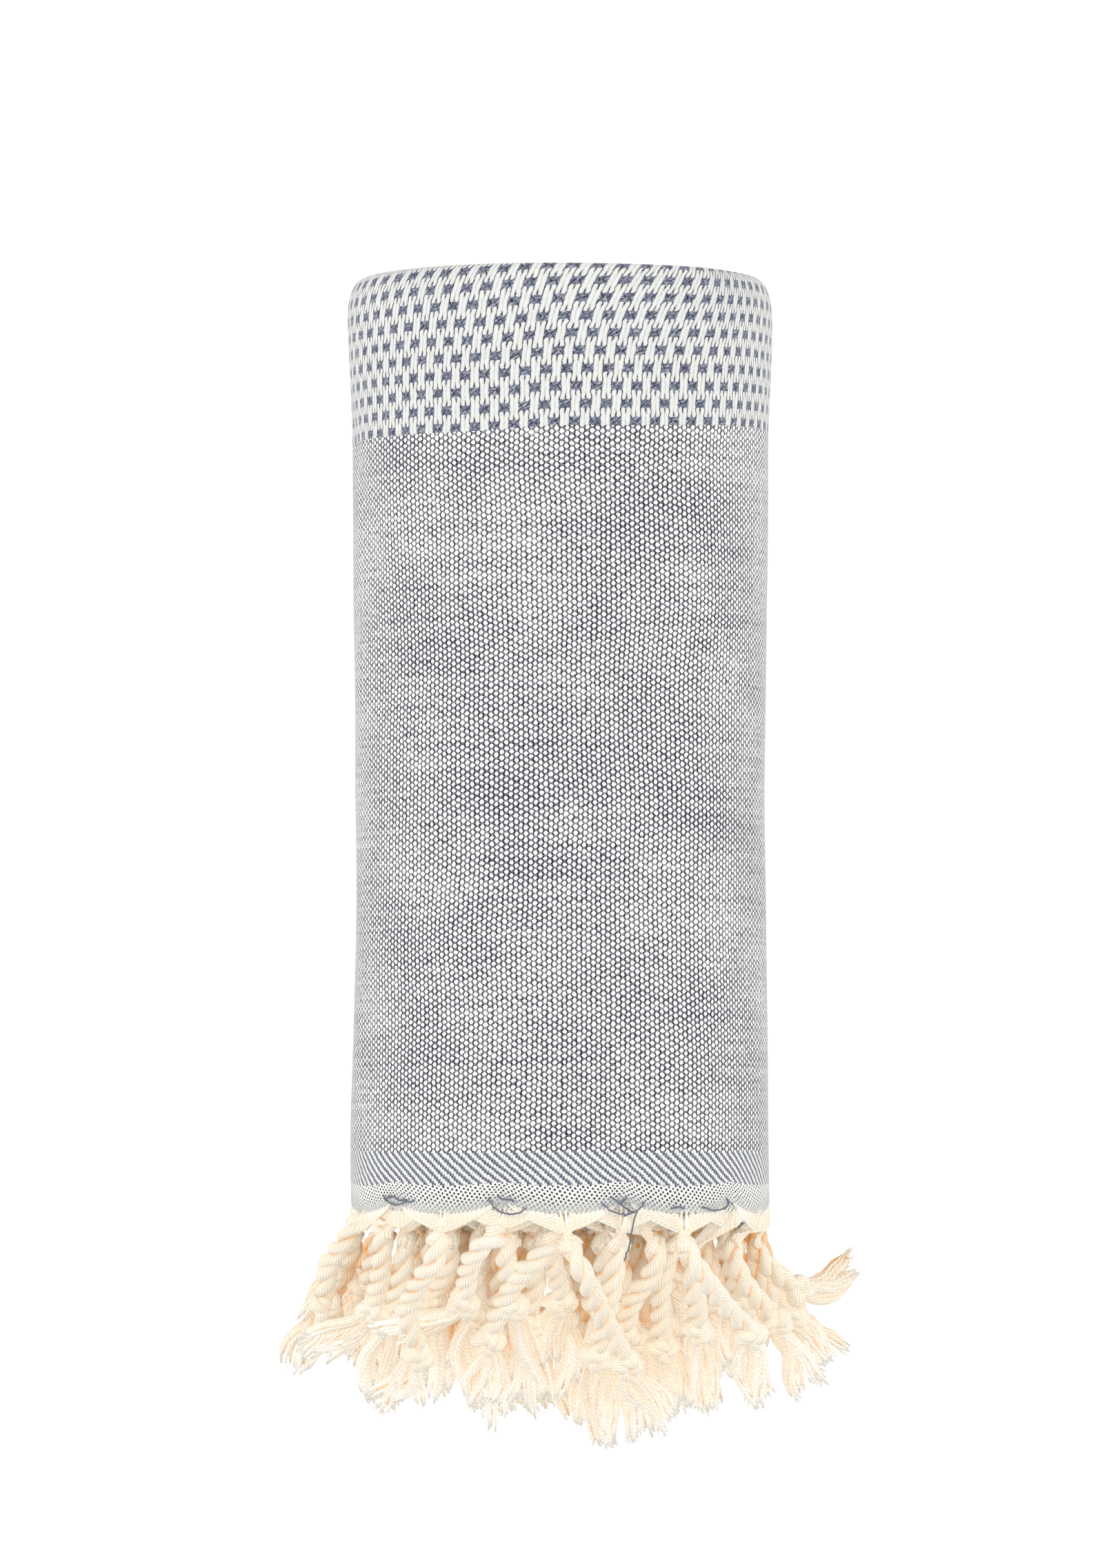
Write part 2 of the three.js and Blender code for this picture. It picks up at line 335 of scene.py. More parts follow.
def smooth_path(points, count):
    """count places, evenly spaced, on a smooth curve through a few points."""
    points = np.asarray(points, float)
    ends = np.concatenate([[2 * points[0] - points[1]], points, [2 * points[-1] - points[-2]]])
    t = np.linspace(0, 1, 12, endpoint=False)[:, None]
    curve = []
    for a, b, c, d in zip(ends, ends[1:], ends[2:], ends[3:]):
        bend = 2 * a - 5 * b + 4 * c - d
        curve.append(b + 0.5 * t * ((c - a) + t * (bend + t * (3 * (b - c) + d - a))))
    curve = np.concatenate(curve + [points[-1:]])
    run = np.concatenate([[0], np.cumsum(np.linalg.norm(np.diff(curve, axis=0), axis=1))])
    wanted = np.linspace(0, run[-1], count)
    return np.stack([np.interp(wanted, run, curve[:, i]) for i in range(3)], -1)


def sides_along(paths):
    """Two directions across each path that turn with it as little as they can. paths: (n, m, 3)."""
    along = unit(np.gradient(paths, axis=1))
    across = np.empty_like(paths)
    first = np.cross(along[:, 0], (0.31, 0.2, 0.93))
    across[:, 0] = unit(first)
    for k in range(1, paths.shape[1]):
        before = across[:, k - 1]
        across[:, k] = unit(before - (before * along[:, k]).sum(-1, keepdims=True) * along[:, k])
    return across, np.cross(along, across)


CORE_SHADE = 0.3  # painted shade: tone of a lock's core, and the share of tone that a cord keeps in its middle, where its strands meet


def add_tubes(bunch, paths, radii, sides, tone=0.5, core=None):
    """Closed tubes along paths (n, m, 3), with radii that broadcast to (n, m). Where core is given,
    as a middle, a near and a far distance, what lies near the middle has a deeper tone: painted
    shade in the valleys between a cord's strands and inside a knot."""
    paths = np.asarray(paths, float)
    n, m, _ = paths.shape
    radii = np.broadcast_to(radii, (n, m))
    across, other = sides_along(paths)
    turn = np.arange(sides) / sides * TURN
    ring = across[:, :, None] * np.cos(turn)[:, None] + other[:, :, None] * np.sin(turn)[:, None]
    rings = paths[:, :, None] + ring * radii[:, :, None, None]
    ends = np.stack([paths[:, 0], paths[:, -1]], 1)
    vertices = np.concatenate([rings.reshape(n, -1, 3), ends], 1)
    per_tube = m * sides + 2
    start = (np.arange(n) * per_tube)[:, None, None]
    ring_at = (np.arange(m - 1) * sides)[None, :, None]
    i = np.arange(sides)
    j = (i + 1) % sides
    here, beside = start + ring_at + i, start + ring_at + j
    quads = np.stack([here, beside, beside + sides, here + sides], -1).reshape(-1, 4)
    steps = np.linalg.norm(np.diff(paths, axis=1), axis=2)
    run = np.concatenate([np.zeros((n, 1)), np.cumsum(steps, axis=1)], 1)
    low = np.broadcast_to(run[:, :-1, None], (n, m - 1, sides))
    high = np.broadcast_to(run[:, 1:, None], (n, m - 1, sides))
    left = np.broadcast_to(i / sides, low.shape)
    right = np.broadcast_to((i + 1) / sides, low.shape)
    quad_map = np.stack([left, low, right, low, right, high, left, high], -1).reshape(-1, 4, 2)
    base = start[:, 0]
    last = (m - 1) * sides
    foot = np.stack([base + m * sides + 0 * i, base + j, base + i], -1)
    head = np.stack([base + m * sides + 1 + 0 * i, base + last + i, base + last + j], -1)
    caps = np.concatenate([foot, head], 1).reshape(-1, 3)
    cap_map = np.zeros((len(caps), 3, 2))
    cap_map[..., 1] = np.repeat(np.stack([run[:, 0], run[:, -1]], 1), sides, axis=1).reshape(-1, 1)
    tone = np.broadcast_to(tone, (n, m))
    around = np.repeat(tone[:, :, None], sides, axis=2)
    # Painted shade: tone is lost near the core's middle.
    if core:
        middle, near, far = core
        away = np.linalg.norm(rings - middle, axis=-1)
        around = around * (CORE_SHADE + (1 - CORE_SHADE) * smooth((away - near) / (far - near)))
    tones = np.concatenate([around.reshape(n, -1), tone[:, :1], tone[:, -1:]], 1)
    bunch.add(vertices, [quads, caps], [quad_map, cap_map], tones.ravel())


# ---- Materials ----


class Value:
    """An output socket, so that a formula over sockets and numbers reads as one."""

    def __init__(self, nodes, socket):
        self.nodes = nodes
        self.socket = socket

    def __add__(self, other):
        return self.nodes.math("ADD", self, other)

    def __sub__(self, other):
        return self.nodes.math("SUBTRACT", self, other)

    def __rsub__(self, other):
        return self.nodes.math("SUBTRACT", other, self)

    def __mul__(self, other):
        return self.nodes.math("MULTIPLY", self, other)

    def __truediv__(self, other):
        return self.nodes.math("DIVIDE", self, other)

    def __pow__(self, other):
        return self.nodes.math("POWER", self, other)

    def __abs__(self):
        return self.nodes.math("ABSOLUTE", self)

    def square(self):
        return abs(self) ** 2

    def least(self, other):
        return self.nodes.math("MINIMUM", self, other)

    def most(self, other):
        return self.nodes.math("MAXIMUM", self, other)

    def ramp(self, low, high, to_low=0.0, to_high=1.0):
        """Goes smoothly from to_low at low to to_high at high."""
        given = {"Value": self, "From Min": low, "From Max": high, "To Min": to_low, "To Max": to_high}
        return self.nodes.make("ShaderNodeMapRange", given, "Result", interpolation_type="SMOOTHSTEP")

    def away(self, period, shift=0.0):
        """Distance from the middle of the repeat that the value lies in."""
        return (self.nodes.math("FRACT", (self + shift) / period) - 0.5) * period


class Nodes:
    """Puts nodes in a tree and links them."""

    def __init__(self, tree):
        self.tree = tree

    def put(self, kind, given, **settings):
        """A node with its settings and what its inputs are given."""
        node = self.tree.nodes.new(kind)
        for name, value in settings.items():
            setattr(node, name, value)
        for name, value in given.items():
            if isinstance(value, Value):
                self.tree.links.new(value.socket, node.inputs[name])
            else:
                node.inputs[name].default_value = value
        return node

    def make(self, kind, given, output=0, **settings):
        """One output of a new node."""
        return Value(self, self.put(kind, given, **settings).outputs[output])

    def math(self, operation, *values):
        return self.make("ShaderNodeMath", dict(enumerate(values)), operation=operation)

    def mix(self, factor, a, b, blend="MIX"):
        """A colour between a and b."""
        return self.make("ShaderNodeMix", {0: factor, 6: a, 7: b}, 2, data_type="RGBA", blend_type=blend)

    def blend(self, factor, a, b):
        """A number between a and b."""
        return self.make("ShaderNodeMix", {0: factor, 2: a, 3: b}, data_type="FLOAT")

    def vector(self, operation, a, b):
        return self.make("ShaderNodeVectorMath", {0: a, 1: b}, operation=operation)

    def noise(self, vector, scale, detail=2.0, roughness=0.5):
        given = {"Vector": vector, "Scale": scale, "Detail": detail, "Roughness": roughness}
        return self.make("ShaderNodeTexNoise", given, "Fac")

    def split(self, vector):
        """The first two parts of a vector."""
        node = self.put("ShaderNodeSeparateXYZ", {0: vector})
        return Value(self, node.outputs[0]), Value(self, node.outputs[1])


LOOSE_SHADE = 0.94  # painted shade: how bright a loose yarn is painted beside a twisted cord of the same cotton


def rgba(colour_value):
    return (*colour_value, 1.0)


def new_group(name, inputs):
    """A group that gives a colour and a height. Returns it, its nodes and what it is given."""
    group = bpy.data.node_groups.new(name, "ShaderNodeTree")
    for socket, kind, default in inputs:
        made = group.interface.new_socket(socket, in_out="INPUT", socket_type=kind)
        if default is not None:
            made.default_value = default
    group.interface.new_socket("Color", in_out="OUTPUT", socket_type="NodeSocketColor")
    group.interface.new_socket("Height", in_out="OUTPUT", socket_type="NodeSocketFloat")
    nodes = Nodes(group)
    outputs = nodes.put("NodeGroupInput", {}).outputs
    return group, nodes, [Value(nodes, outputs[socket]) for socket, _, _ in inputs]


def oval_edge(x, y, wide, tall):
    """How far out of an oval a place is, 1 being its edge."""
    return (x / wide).square() + (y / tall).square()


def plain_weave(u, v, end, pick):
    """Warp threads over every second pick. Returns how far out of a warp oval, and of a weft one."""
    warp = []
    weft = []
    for shift in (0, 1):
        y = v.away(2 * pick, shift * pick)
        warp.append(oval_edge(u.away(2 * end, shift * end), y, 0.48 * end, 0.76 * pick))
        weft.append(oval_edge(u.away(2 * end, (1 - shift) * end), y, 0.62 * end, 0.42 * pick))
    return warp[0].least(warp[1]), weft[0].least(weft[1])


def check_weave(nodes, u, v, end, row):
    """White warp floats over blocks of weft, half a repeat apart from row to row. Each is a pair of
    threads that lie together in the middle and part at both ends. Returns how far out of a float,
    how dark a seam between two floats or two threads is, and how far from the middle of a row."""
    floats = []
    dots = []
    for shift in (0, 1):
        x = abs(u.away(4 * end, shift * 2 * end))
        y = abs(v.away(2 * row, (shift + 0.78) * row))
        aside = x - y.ramp(0.32 * row, 0.60 * row, 0.42 * end, 0.55 * end)
        past = (y - 0.66 * row).most(0.0)
        floats.append(nodes.math("SQRT", aside.square() + past.square()) / (0.445 * end))
        dots.append(oval_edge(x, y - 0.64 * row, 0.2 * end, 0.07 * row))
    edge = floats[0].least(floats[1])
    seam = abs(floats[0] - floats[1]).ramp(0.12, 0.55, 1.0, 0.0) * edge.ramp(0.8, 1.0)
    seam = seam.most(dots[0].least(dots[1]).ramp(0.3, 1.3, 1.0, 0.0))
    return edge, seam, abs(v.away(row, 0.28 * row)) / row


def twill_weave(nodes, u, v, end):
    """Short warp floats, each a step lower than the one on its left, so that they make diagonals.
    Returns how far out of a float, and out of the dark dots between the diagonals."""
    thread = end / 2
    step = 0.56  # millimetres
    x = u.away(thread)
    stepped = v + nodes.math("FLOOR", u / thread) * step
    edge = (x / (0.62 * thread)).square() + (abs(stepped.away(4 * step)) / 0.64) ** 2.6
    dot_x = x.away(thread, 0.5 * thread)
    return edge, oval_edge(dot_x, stepped.away(4 * step, 2.25 * step), 0.3 * thread, 0.2)


def hem_weave(u, v, end):
    """White on white: how far out of the small dark gaps, which draw out into slits at the hem."""
    row = 0.76 * end
    tall = v.ramp(0.3, 3.0, 0.42 * end, 0.27 * end)
    slant = v + u * 0.3
    gaps = []
    for shift in (0, 1):
        x = (u - v * 0.12).away(end, shift * 0.5 * end)
        gaps.append(oval_edge(x, slant.away(2 * row, shift * row), 0.24 * end, tall))
    return gaps[0].least(gaps[1])


LEAN_FROM = 201  # millimetres from the hem


def weave_group(looks, sizes):
    """Colour and height of the cloth, from its place across and along the towel in metres. Inside
    the group, lengths are in millimetres."""
    group, nodes, (cloth, warp, weft, gap) = new_group(
        "Towel weave",
        [("Cloth", "NodeSocketVector", None), ("Warp", "NodeSocketColor", rgba(looks.warp)),
         ("Weft", "NodeSocketColor", rgba(looks.weft)), ("Gap", "NodeSocketColor", rgba(looks.gap))],
    )
    end = looks.end_pitch / MM
    pick = looks.pick_pitch / MM

    def stretched(across, along, roughness=0.7):
        return nodes.noise(nodes.vector("MULTIPLY", cloth, (across, along, 1)), 1, 2, roughness)

    def wander(x, y, size, near, far):
        """Threads stray from their places, a little from one to the next and more over a hand."""
        close = nodes.noise(nodes.vector("ADD", cloth, (x, y, 0)), 420, 2, 0.6)
        wide = nodes.noise(nodes.vector("ADD", cloth, (y, x, 0)), size, 1)
        return (close - 0.5) * near + (wide - 0.5) * far

    across, along = nodes.split(cloth)
    u = across * 1000 + wander(0.3, 1.7, 24, 0.7, 2.4)
    v = along * 1000 + wander(3.7, 9.1, 20, 0.6, 2.2)
    # The picks run a little askew across the upper side of the outermost turn.
    tilt = u.ramp(186, 232, 0.0, 1.5) - u.ramp(146, 176, 1.6, 0.0)
    v = v - v.ramp(60, 185) * tilt
    from_end = v.least(sizes.length / MM - v)
    # The check's floats lean over where the folded end was pulled round.
    pulled = u.ramp(160, 198, 0.0052, 0.0125) * u.ramp(202, 226, 1.0, 0.25)
    lean = u - (from_end - LEAN_FROM).most(0.0).square() * pulled

    warp_edge, weft_edge = plain_weave(u, v, end, pick)
    float_edge, float_seam, from_row = check_weave(
        nodes, lean, from_end - looks.check_from / MM, looks.check_end / MM, looks.check_row / MM
    )
    twill_edge, twill_dot = twill_weave(nodes, u, from_end, end)
    hem_gap = hem_weave(u, from_end, end)

    fine = nodes.noise(cloth, 5200, 3, 0.65)
    uneven = nodes.noise(cloth, 760, 2, 0.7)
    along_weft = stretched(300, 2600)
    along_warp = stretched(3400, 420)
    streak = stretched(16, 900, 0.6)
    patch = nodes.noise(cloth, 34, 3, 0.65)
    # How much of the white warp covers the weft, and the unevenness that all edges share.
    worn = patch.ramp(0.3, 0.7, 0.0, 0.5) + streak.ramp(0.3, 0.7, 0.0, 0.5)
    ragged = (uneven - 0.5) * 1.3 + (fine - 0.5) * 0.3
    dull = nodes.mix(along_warp.ramp(0.3, 0.72, 0.0, 0.16), warp, weft)
    # Painted highlight: the warp where it floats on top is painted whiter than the warp colour.
    raised = nodes.mix(0.35, warp, (1, 1, 0.97, 1))
    thread = nodes.mix(along_weft.ramp(0.35, 0.7), nodes.mix(0.4, weft, gap), weft)
    thread = nodes.mix(along_weft.ramp(0.55, 0.8, 0.0, 0.22), thread, warp)

    oval = warp_edge + ragged + (0.5 - worn) * 0.35
    low = weft_edge + ragged
    # Painted shade: the weft darkens to the gap colour toward the edges of its ovals.
    under = nodes.mix(low.ramp(0.1, 0.9), nodes.mix(worn * 0.3, thread, warp), gap)
    plain = nodes.mix(oval.ramp(0.6, 1.15), raised, under)
    plain_high = oval.ramp(0.0, 1.15, 1.0, 0.0) + low.ramp(0.0, 1.2, 0.4, 0.0)

    slanted = {0: (v - u * 0.5) * 2.3, 1: u * 0.7}
    fibres = nodes.noise(nodes.make("ShaderNodeCombineXYZ", slanted), 1, 2, 0.7)
    block = nodes.mix(fibres.ramp(0.34, 0.5, 0.7, 0.0), weft, gap)
    block = nodes.mix(fibres.ramp(0.48, 0.66, 0.0, 0.45), block, warp)
    edge = float_edge + ragged * 0.3
    # Painted shade: a dark rim round each float, fainter in the middle of a row.
    rim = edge.ramp(0.95, 1.4, 1.0, 0.0) * from_row.ramp(0.2, 0.34, 0.2, 1.0)
    block = nodes.mix(rim * uneven.ramp(0.42, 0.62, 0.3, 1.0), block, gap)
    broken = (uneven + fine * 0.4).ramp(0.55, 0.8, 0.25, 1.0)
    check = nodes.mix(edge.ramp(0.84, 1.04), dull, block)
    # Painted shade in the seams between floats and between threads.
    check = nodes.mix(float_seam * broken, check, gap)
    check_high = edge.ramp(0.2, 1.1, 1.4, 0.0) + along_weft * 0.3

    line = twill_edge + ragged * 0.9
    # Painted shade: dark dots between the twill's diagonals.
    dot = (twill_dot + ragged).ramp(0.4, 1.4, 0.8, 0.0)
    ground = nodes.mix(dot, nodes.mix(0.1, thread, warp), gap)
    twill = nodes.mix(line.ramp(0.55, 1.2), raised, ground)
    twill_high = line.ramp(0.0, 1.1, 1.0, 0.0)

    slit = hem_gap + ragged * 0.7
    # Painted shade in the slits of the hem, fainter at the very edge.
    slit_dark = slit.ramp(0.35, 1.45, 1.0, 0.0) * from_end.ramp(0.0, 3.2, 0.3, 1.0)
    hem = nodes.mix(slit_dark, nodes.mix(0.85, dull, raised), gap)
    hem_high = slit.ramp(0.2, 1.8, 0.0, 0.9)

    def nearer(distance):
        return nodes.math("LESS_THAN", from_end, distance / MM)

    in_check = nodes.math("GREATER_THAN", from_end, looks.check_from / MM) * nearer(looks.check_to)
    colour_now, high = plain, plain_high
    for inside, band, band_high in (
        (in_check, check, check_high),
        (nearer(looks.twill_band), twill, twill_high),
        (nearer(looks.hem_band), hem, hem_high),
    ):
        colour_now = nodes.mix(inside, colour_now, band)
        high = nodes.blend(inside, high, band_high)
    nodes.put("NodeGroupOutput", {"Color": colour_now, "Height": high + fine * 0.22})
    return group


def yarn_group():
    """Colour and height of twisted yarn, from the place round it in turns and along it in metres.
    A low tone paints the deep warm shade of a gap between cords, and a high one makes the yarn
    paler, up to near white, in part as painted light where a yarn faces up."""
    group, nodes, (thread, tone, yarn, lines_round, line_pitch, contrast) = new_group(
        "Spun yarn",
        [("Thread", "NodeSocketVector", None), ("Tone", "NodeSocketFloat", 0.5),
         ("Yarn", "NodeSocketColor", (0.9, 0.85, 0.75, 1)), ("Lines Round", "NodeSocketFloat", 7.0),
         ("Line Pitch", "NodeSocketFloat", 0.9), ("Contrast", "NodeSocketFloat", 0.1)],
    )
    around, along = nodes.split(thread)
    where = nodes.make("ShaderNodeTexCoord", {}, "Object")
    coarse = nodes.noise(where, 700, 2)
    fine = nodes.noise(where, 5200, 3, 0.7)
    phase = around * lines_round + along * 1000 / line_pitch + coarse * 0.9
    line = abs(nodes.math("SINE", phase * math.pi))
    tone = tone + (coarse - 0.5) * 0.3
    # Painted shade: low tones turn the yarn to the deep warm colour of the gaps between cords; high tones
    # turn it paler, in part as painted light.
    deep = nodes.mix(1.0, yarn, (0.97, 0.56, 0.22, 1), "MULTIPLY")
    pale = nodes.mix(0.7, yarn, (1.0, 0.99, 0.96, 1))
    colour_now = nodes.mix(tone.ramp(0.0, 0.5), deep, yarn)
    colour_now = nodes.mix(tone.ramp(0.5, 1.0), colour_now, pale)
    colour_now = nodes.mix(tone.ramp(1.0, 1.3, 0.0, 0.7), colour_now, (0.93, 0.93, 0.87, 1))
    shade = nodes.mix(1.0, colour_now, (0.88, 0.72, 0.52, 1), "MULTIPLY")
    valley = line.ramp(0.0, 0.6, 1.0, 0.0) * contrast
    height = line.ramp(0.0, 0.8) + fine * 0.5
    nodes.put("NodeGroupOutput", {"Color": nodes.mix(valley, colour_now, shade), "Height": height})
    return group


def empty_material(name):
    material = bpy.data.materials.new(name)
    material.use_nodes = True
    material.node_tree.nodes.clear()
    return material, Nodes(material.node_tree)


def fibre_material(name, group, given, bump, sheen, sheen_roughness):
    """Matt cotton, whose colour and height a group works out from the map along the thread."""
    material, nodes = empty_material(name)
    given = {0: nodes.make("ShaderNodeUVMap", {}, uv_map="Thread"), **given}
    if "Tone" in group.interface.items_tree:
        given["Tone"] = nodes.make("ShaderNodeAttribute", {}, "Fac", attribute_name="tone")
    made = nodes.put("ShaderNodeGroup", given, node_tree=group)
    height = Value(nodes, made.outputs["Height"])
    surface = nodes.make("ShaderNodeBsdfPrincipled", {
        "Roughness": 0.95,
        "Specular IOR Level": 0.15,
        "Sheen Weight": sheen,
        "Sheen Roughness": sheen_roughness,
        "Base Color": Value(nodes, made.outputs["Color"]),
        "Normal": nodes.make("ShaderNodeBump", {"Strength": 1.0, "Distance": bump, "Height": height}),
    })
    nodes.put("ShaderNodeOutputMaterial", {"Surface": surface})
    return material


def spun_material(name, yarn, lines_round, line_pitch, contrast, bump):
    """The material of that name, made on first use, for yarn with fine lines twisted round it."""
    found = bpy.data.materials.get(name)
    if found:
        return found
    group = bpy.data.node_groups.get("Spun yarn") or yarn_group()
    given = {"Yarn": rgba(yarn), "Lines Round": lines_round, "Line Pitch": line_pitch,
             "Contrast": contrast}
    return fibre_material(name, group, given, bump, 0.2, 0.5)


def cord_material():
    return spun_material("Twisted cotton cord", fringe_sizes().cream, 12.0, 0.9, 0.3, 0.12 * MM)


def yarn_material():
    loose = [LOOSE_SHADE * part for part in fringe_sizes().cream]
    return spun_material("Loose cotton yarn", loose, 2.0, 1.3, 0.4, 0.08 * MM)


def weft_material():
    return spun_material("Blue-grey weft yarn", weave_looks().weft, 2.0, 1.1, 0.6, 0.06 * MM)


# ---- The cloth ----

# The order in which the cloth runs through the stack's layers, 1 being the outermost, from one
# fringed end to the other. It goes up the first, down the next, and so on.
LAYER_ORDER = (1, 8, 5, 4, 3, 6, 7, 2)
# Where each layer's selvedge lies, back from the loose edge.
EDGE_STEPS = (0.0, 0.8 * MM, 1.6 * MM, 2.6 * MM, 11 * MM, 19 * MM, 26 * MM, 33 * MM)
EDGE_SETTLE = 90 * MM  # by here the layers lie square on each other again
TAPER_ROUND = 3.0 * MM  # how gently an outer layer comes down off the edge of one below it

SCALLOP_DROP = 3.0 * MM  # how much lower the hem hangs in the middle of a tassel's width
SCALLOP_REACH = 9 * MM  # how far up from the hem that pull is felt
LOW_FOLD = 1.2 * MM  # where the folds at the fringed end start
LOW_FOLD_SAG = 1.6 * MM  # how far those folds hang below a tight one
CORNER_AT = 16  # where round the roll an inner fold has slipped furthest down, in degrees
CORNER_SAG = 5.6 * MM  # and how far below the other folds it hangs
CORNER_WIDE = 24  # in degrees
INNER_HEM = 0.8 * MM  # how much higher the inner hem lies than the outer one
OUTER_TURNS = 1.08  # how far round the outermost layer is a piece of its own
FINE_SAG = 0.009 * MM  # how far a facet may stray from the curve on the outermost layer
PLAIN_SAG = 0.055 * MM  # and on the rest of the towel
FIRST_TASSEL = {"outer": 0.25, "inner": 0.75}  # from the loose edge, in tassels
END_LAYER = {"outer": 1, "inner": 2}

# A line along the cloth's section: the layer it leaves and the one it comes to, the share of the way
# between them, its height above the hem, how much a fold sags there, and if it is part of a hem.
Level = namedtuple("Level", "layer after share height sag hem")


def layer_place(layer, wound):
    """Share of the way from the stack's inner face to its outer face at which a layer lies."""
    below = np.full(wound.shape, 0.5)
    for under in range(layer, 8):
        below = below + smooth((wound - EDGE_STEPS[under]) / TAPER_ROUND + 0.5)
    whole = 8 * (EDGE_STACK + (1 - EDGE_STACK) * np.minimum(wound / EDGE_TAPER, 1))
    return np.minimum(below, whole - 0.4) / whole


def folded_levels(roll):
    """The folded cloth's section, from one fringed end to the other."""
    shoulder = roll.folded - roll.fold_reach
    levels = []
    for number, layer in enumerate(LAYER_ORDER):
        up = number % 2 == 0
        low = {1: 0.0, 2: INNER_HEM}.get(layer, LOW_FOLD)
        rows = {1: 46, 2: 9, 8: 7}.get(layer, 6)
        heights = np.linspace(low, shoulder, rows)
        hem = 1.0 if layer in (1, 2) else 0.0
        for height in heights if up else heights[::-1]:
            levels.append(Level(layer, layer, 0.0, height, 0.0, hem))
        if number == 7:
            break
        after = LAYER_ORDER[number + 1]
        span = abs(after - layer)
        turns = np.linspace(0, math.pi, (7 if up else 5) + span)[1:-1]
        for turn in turns:
            way = (1 - math.cos(turn)) / 2
            if up:
                reach = (roll.fold_reach - roll.cloth / 2) * span / 7
                levels.append(Level(layer, after, way, shoulder + reach * math.sin(turn), 0, 0))
            else:
                height = LOW_FOLD - 0.45 * MM * span * math.sin(turn)
                levels.append(Level(layer, after, way, height, math.sin(turn), 0))
    return levels


def scallop(wide, end):
    """How much of a scallop's drop there is at a place across the towel."""
    tassels = wide / fringe_sizes().pitch - FIRST_TASSEL[end]
    return np.abs(np.cos(math.pi * tassels)) ** 0.75


def cloth_points(roll, levels, columns):
    """Middle of the cloth for each column (a length of winding) and level, and its map."""
    whole = wound_length(roll)
    steps = []
    for level in levels:
        first, last = EDGE_STEPS[level.layer - 1], EDGE_STEPS[level.after - 1]
        steps.append(first + (last - first) * level.share)
    column = np.asarray(columns)[:, None]
    wound = column + np.array(steps)[None] * (1 - smooth(column / EDGE_SETTLE)) ** 2
    wound = np.minimum(wound, whole)
    back = turned_back(roll, wound)
    place = np.empty_like(wound)
    for k, level in enumerate(levels):
        here = layer_place(level.layer, wound[:, k])
        there = layer_place(level.after, wound[:, k])
        place[:, k] = here + (there - here) * level.share
    height = np.array([level.height for level in levels])[None] + 0 * wound
    degrees = np.degrees(roll.end_angle - back)
    aside = (degrees - CORNER_AT + 180) % 360 - 180
    slip = CORNER_SAG * np.exp(-((aside / CORNER_WIDE) ** 2)) * (back < 1.4 * TURN)
    sag = np.array([level.sag for level in levels])[None]
    height = height - sag * (LOW_FOLD_SAG + slip)
    wide = column * (1 + roll.squash) / 2
    for end, layer in END_LAYER.items():
        near = np.array([smooth(1 - level.height / SCALLOP_REACH) ** 1.5 for level in levels])
        own = np.array([level.hem * (level.layer == layer) for level in levels])
        height = height - SCALLOP_DROP * scallop(wide, end) * (near * own)[None]
    points = winding_points(roll, back, place, height)
    return points, wide


def run_along(points, roll):
    """Each level's distance along the cloth, which in all is the towel's length."""
    steps = np.linalg.norm(np.diff(points[len(points) // 2], axis=0), axis=1)
    run = np.concatenate([[0], np.cumsum(steps)])
    return run * roll.length / run[-1]


def shell(bunch, points, wide, run, thickness, keep):
    """A closed thin sheet over the cells of a grid that are kept."""
    columns, rows, _ = points.shape
    normals = unit(np.cross(np.gradient(points, axis=0), np.gradient(points, axis=1)))
    out = normals * thickness / 2
    vertices = np.concatenate([(points + out).reshape(-1, 3), (points - out).reshape(-1, 3)])
    number = np.arange(columns * rows).reshape(columns, rows)
    under = number + columns * rows
    place = np.stack(np.broadcast_arrays(wide, run[None]), -1).reshape(-1, 2)
    place = np.concatenate([place, place])
    a, b, c, d = number[:-1, :-1], number[1:, :-1], number[1:, 1:], number[:-1, 1:]
    corners = np.stack([a, b, c, d], -1)[keep]
    quads = [corners, corners[:, ::-1] + columns * rows]
    padded = np.pad(keep, 1)
    sides = (
        (~padded[1:-1, :-2], a, b), (~padded[2:, 1:-1], b, c),
        (~padded[1:-1, 2:], c, d), (~padded[:-2, 1:-1], d, a),
    )
    for edge, p, q in sides:
        at = keep & edge
        quads.append(np.stack([under[0, 0] + p[at], under[0, 0] + q[at], q[at], p[at]], -1))
    quads = np.concatenate(quads)
    used, quads = np.unique(quads, return_inverse=True)
    quads = quads.reshape(-1, 4)
    bunch.add(vertices[used], [quads], [place[used][quads]])


def winding_columns(roll, start, stop, sag):
    """Lengths of winding whose straight steps stray from the curve by no more than sag."""
    columns = [start]
    while columns[-1] < stop:
        back = float(turned_back(roll, columns[-1]))
        radius = roll.outer_radius - turn_pitch(roll) * back / TURN
        step = 2 * math.acos(1 - sag / radius) * radius
        columns.append(min(columns[-1] + step, stop))
    return columns


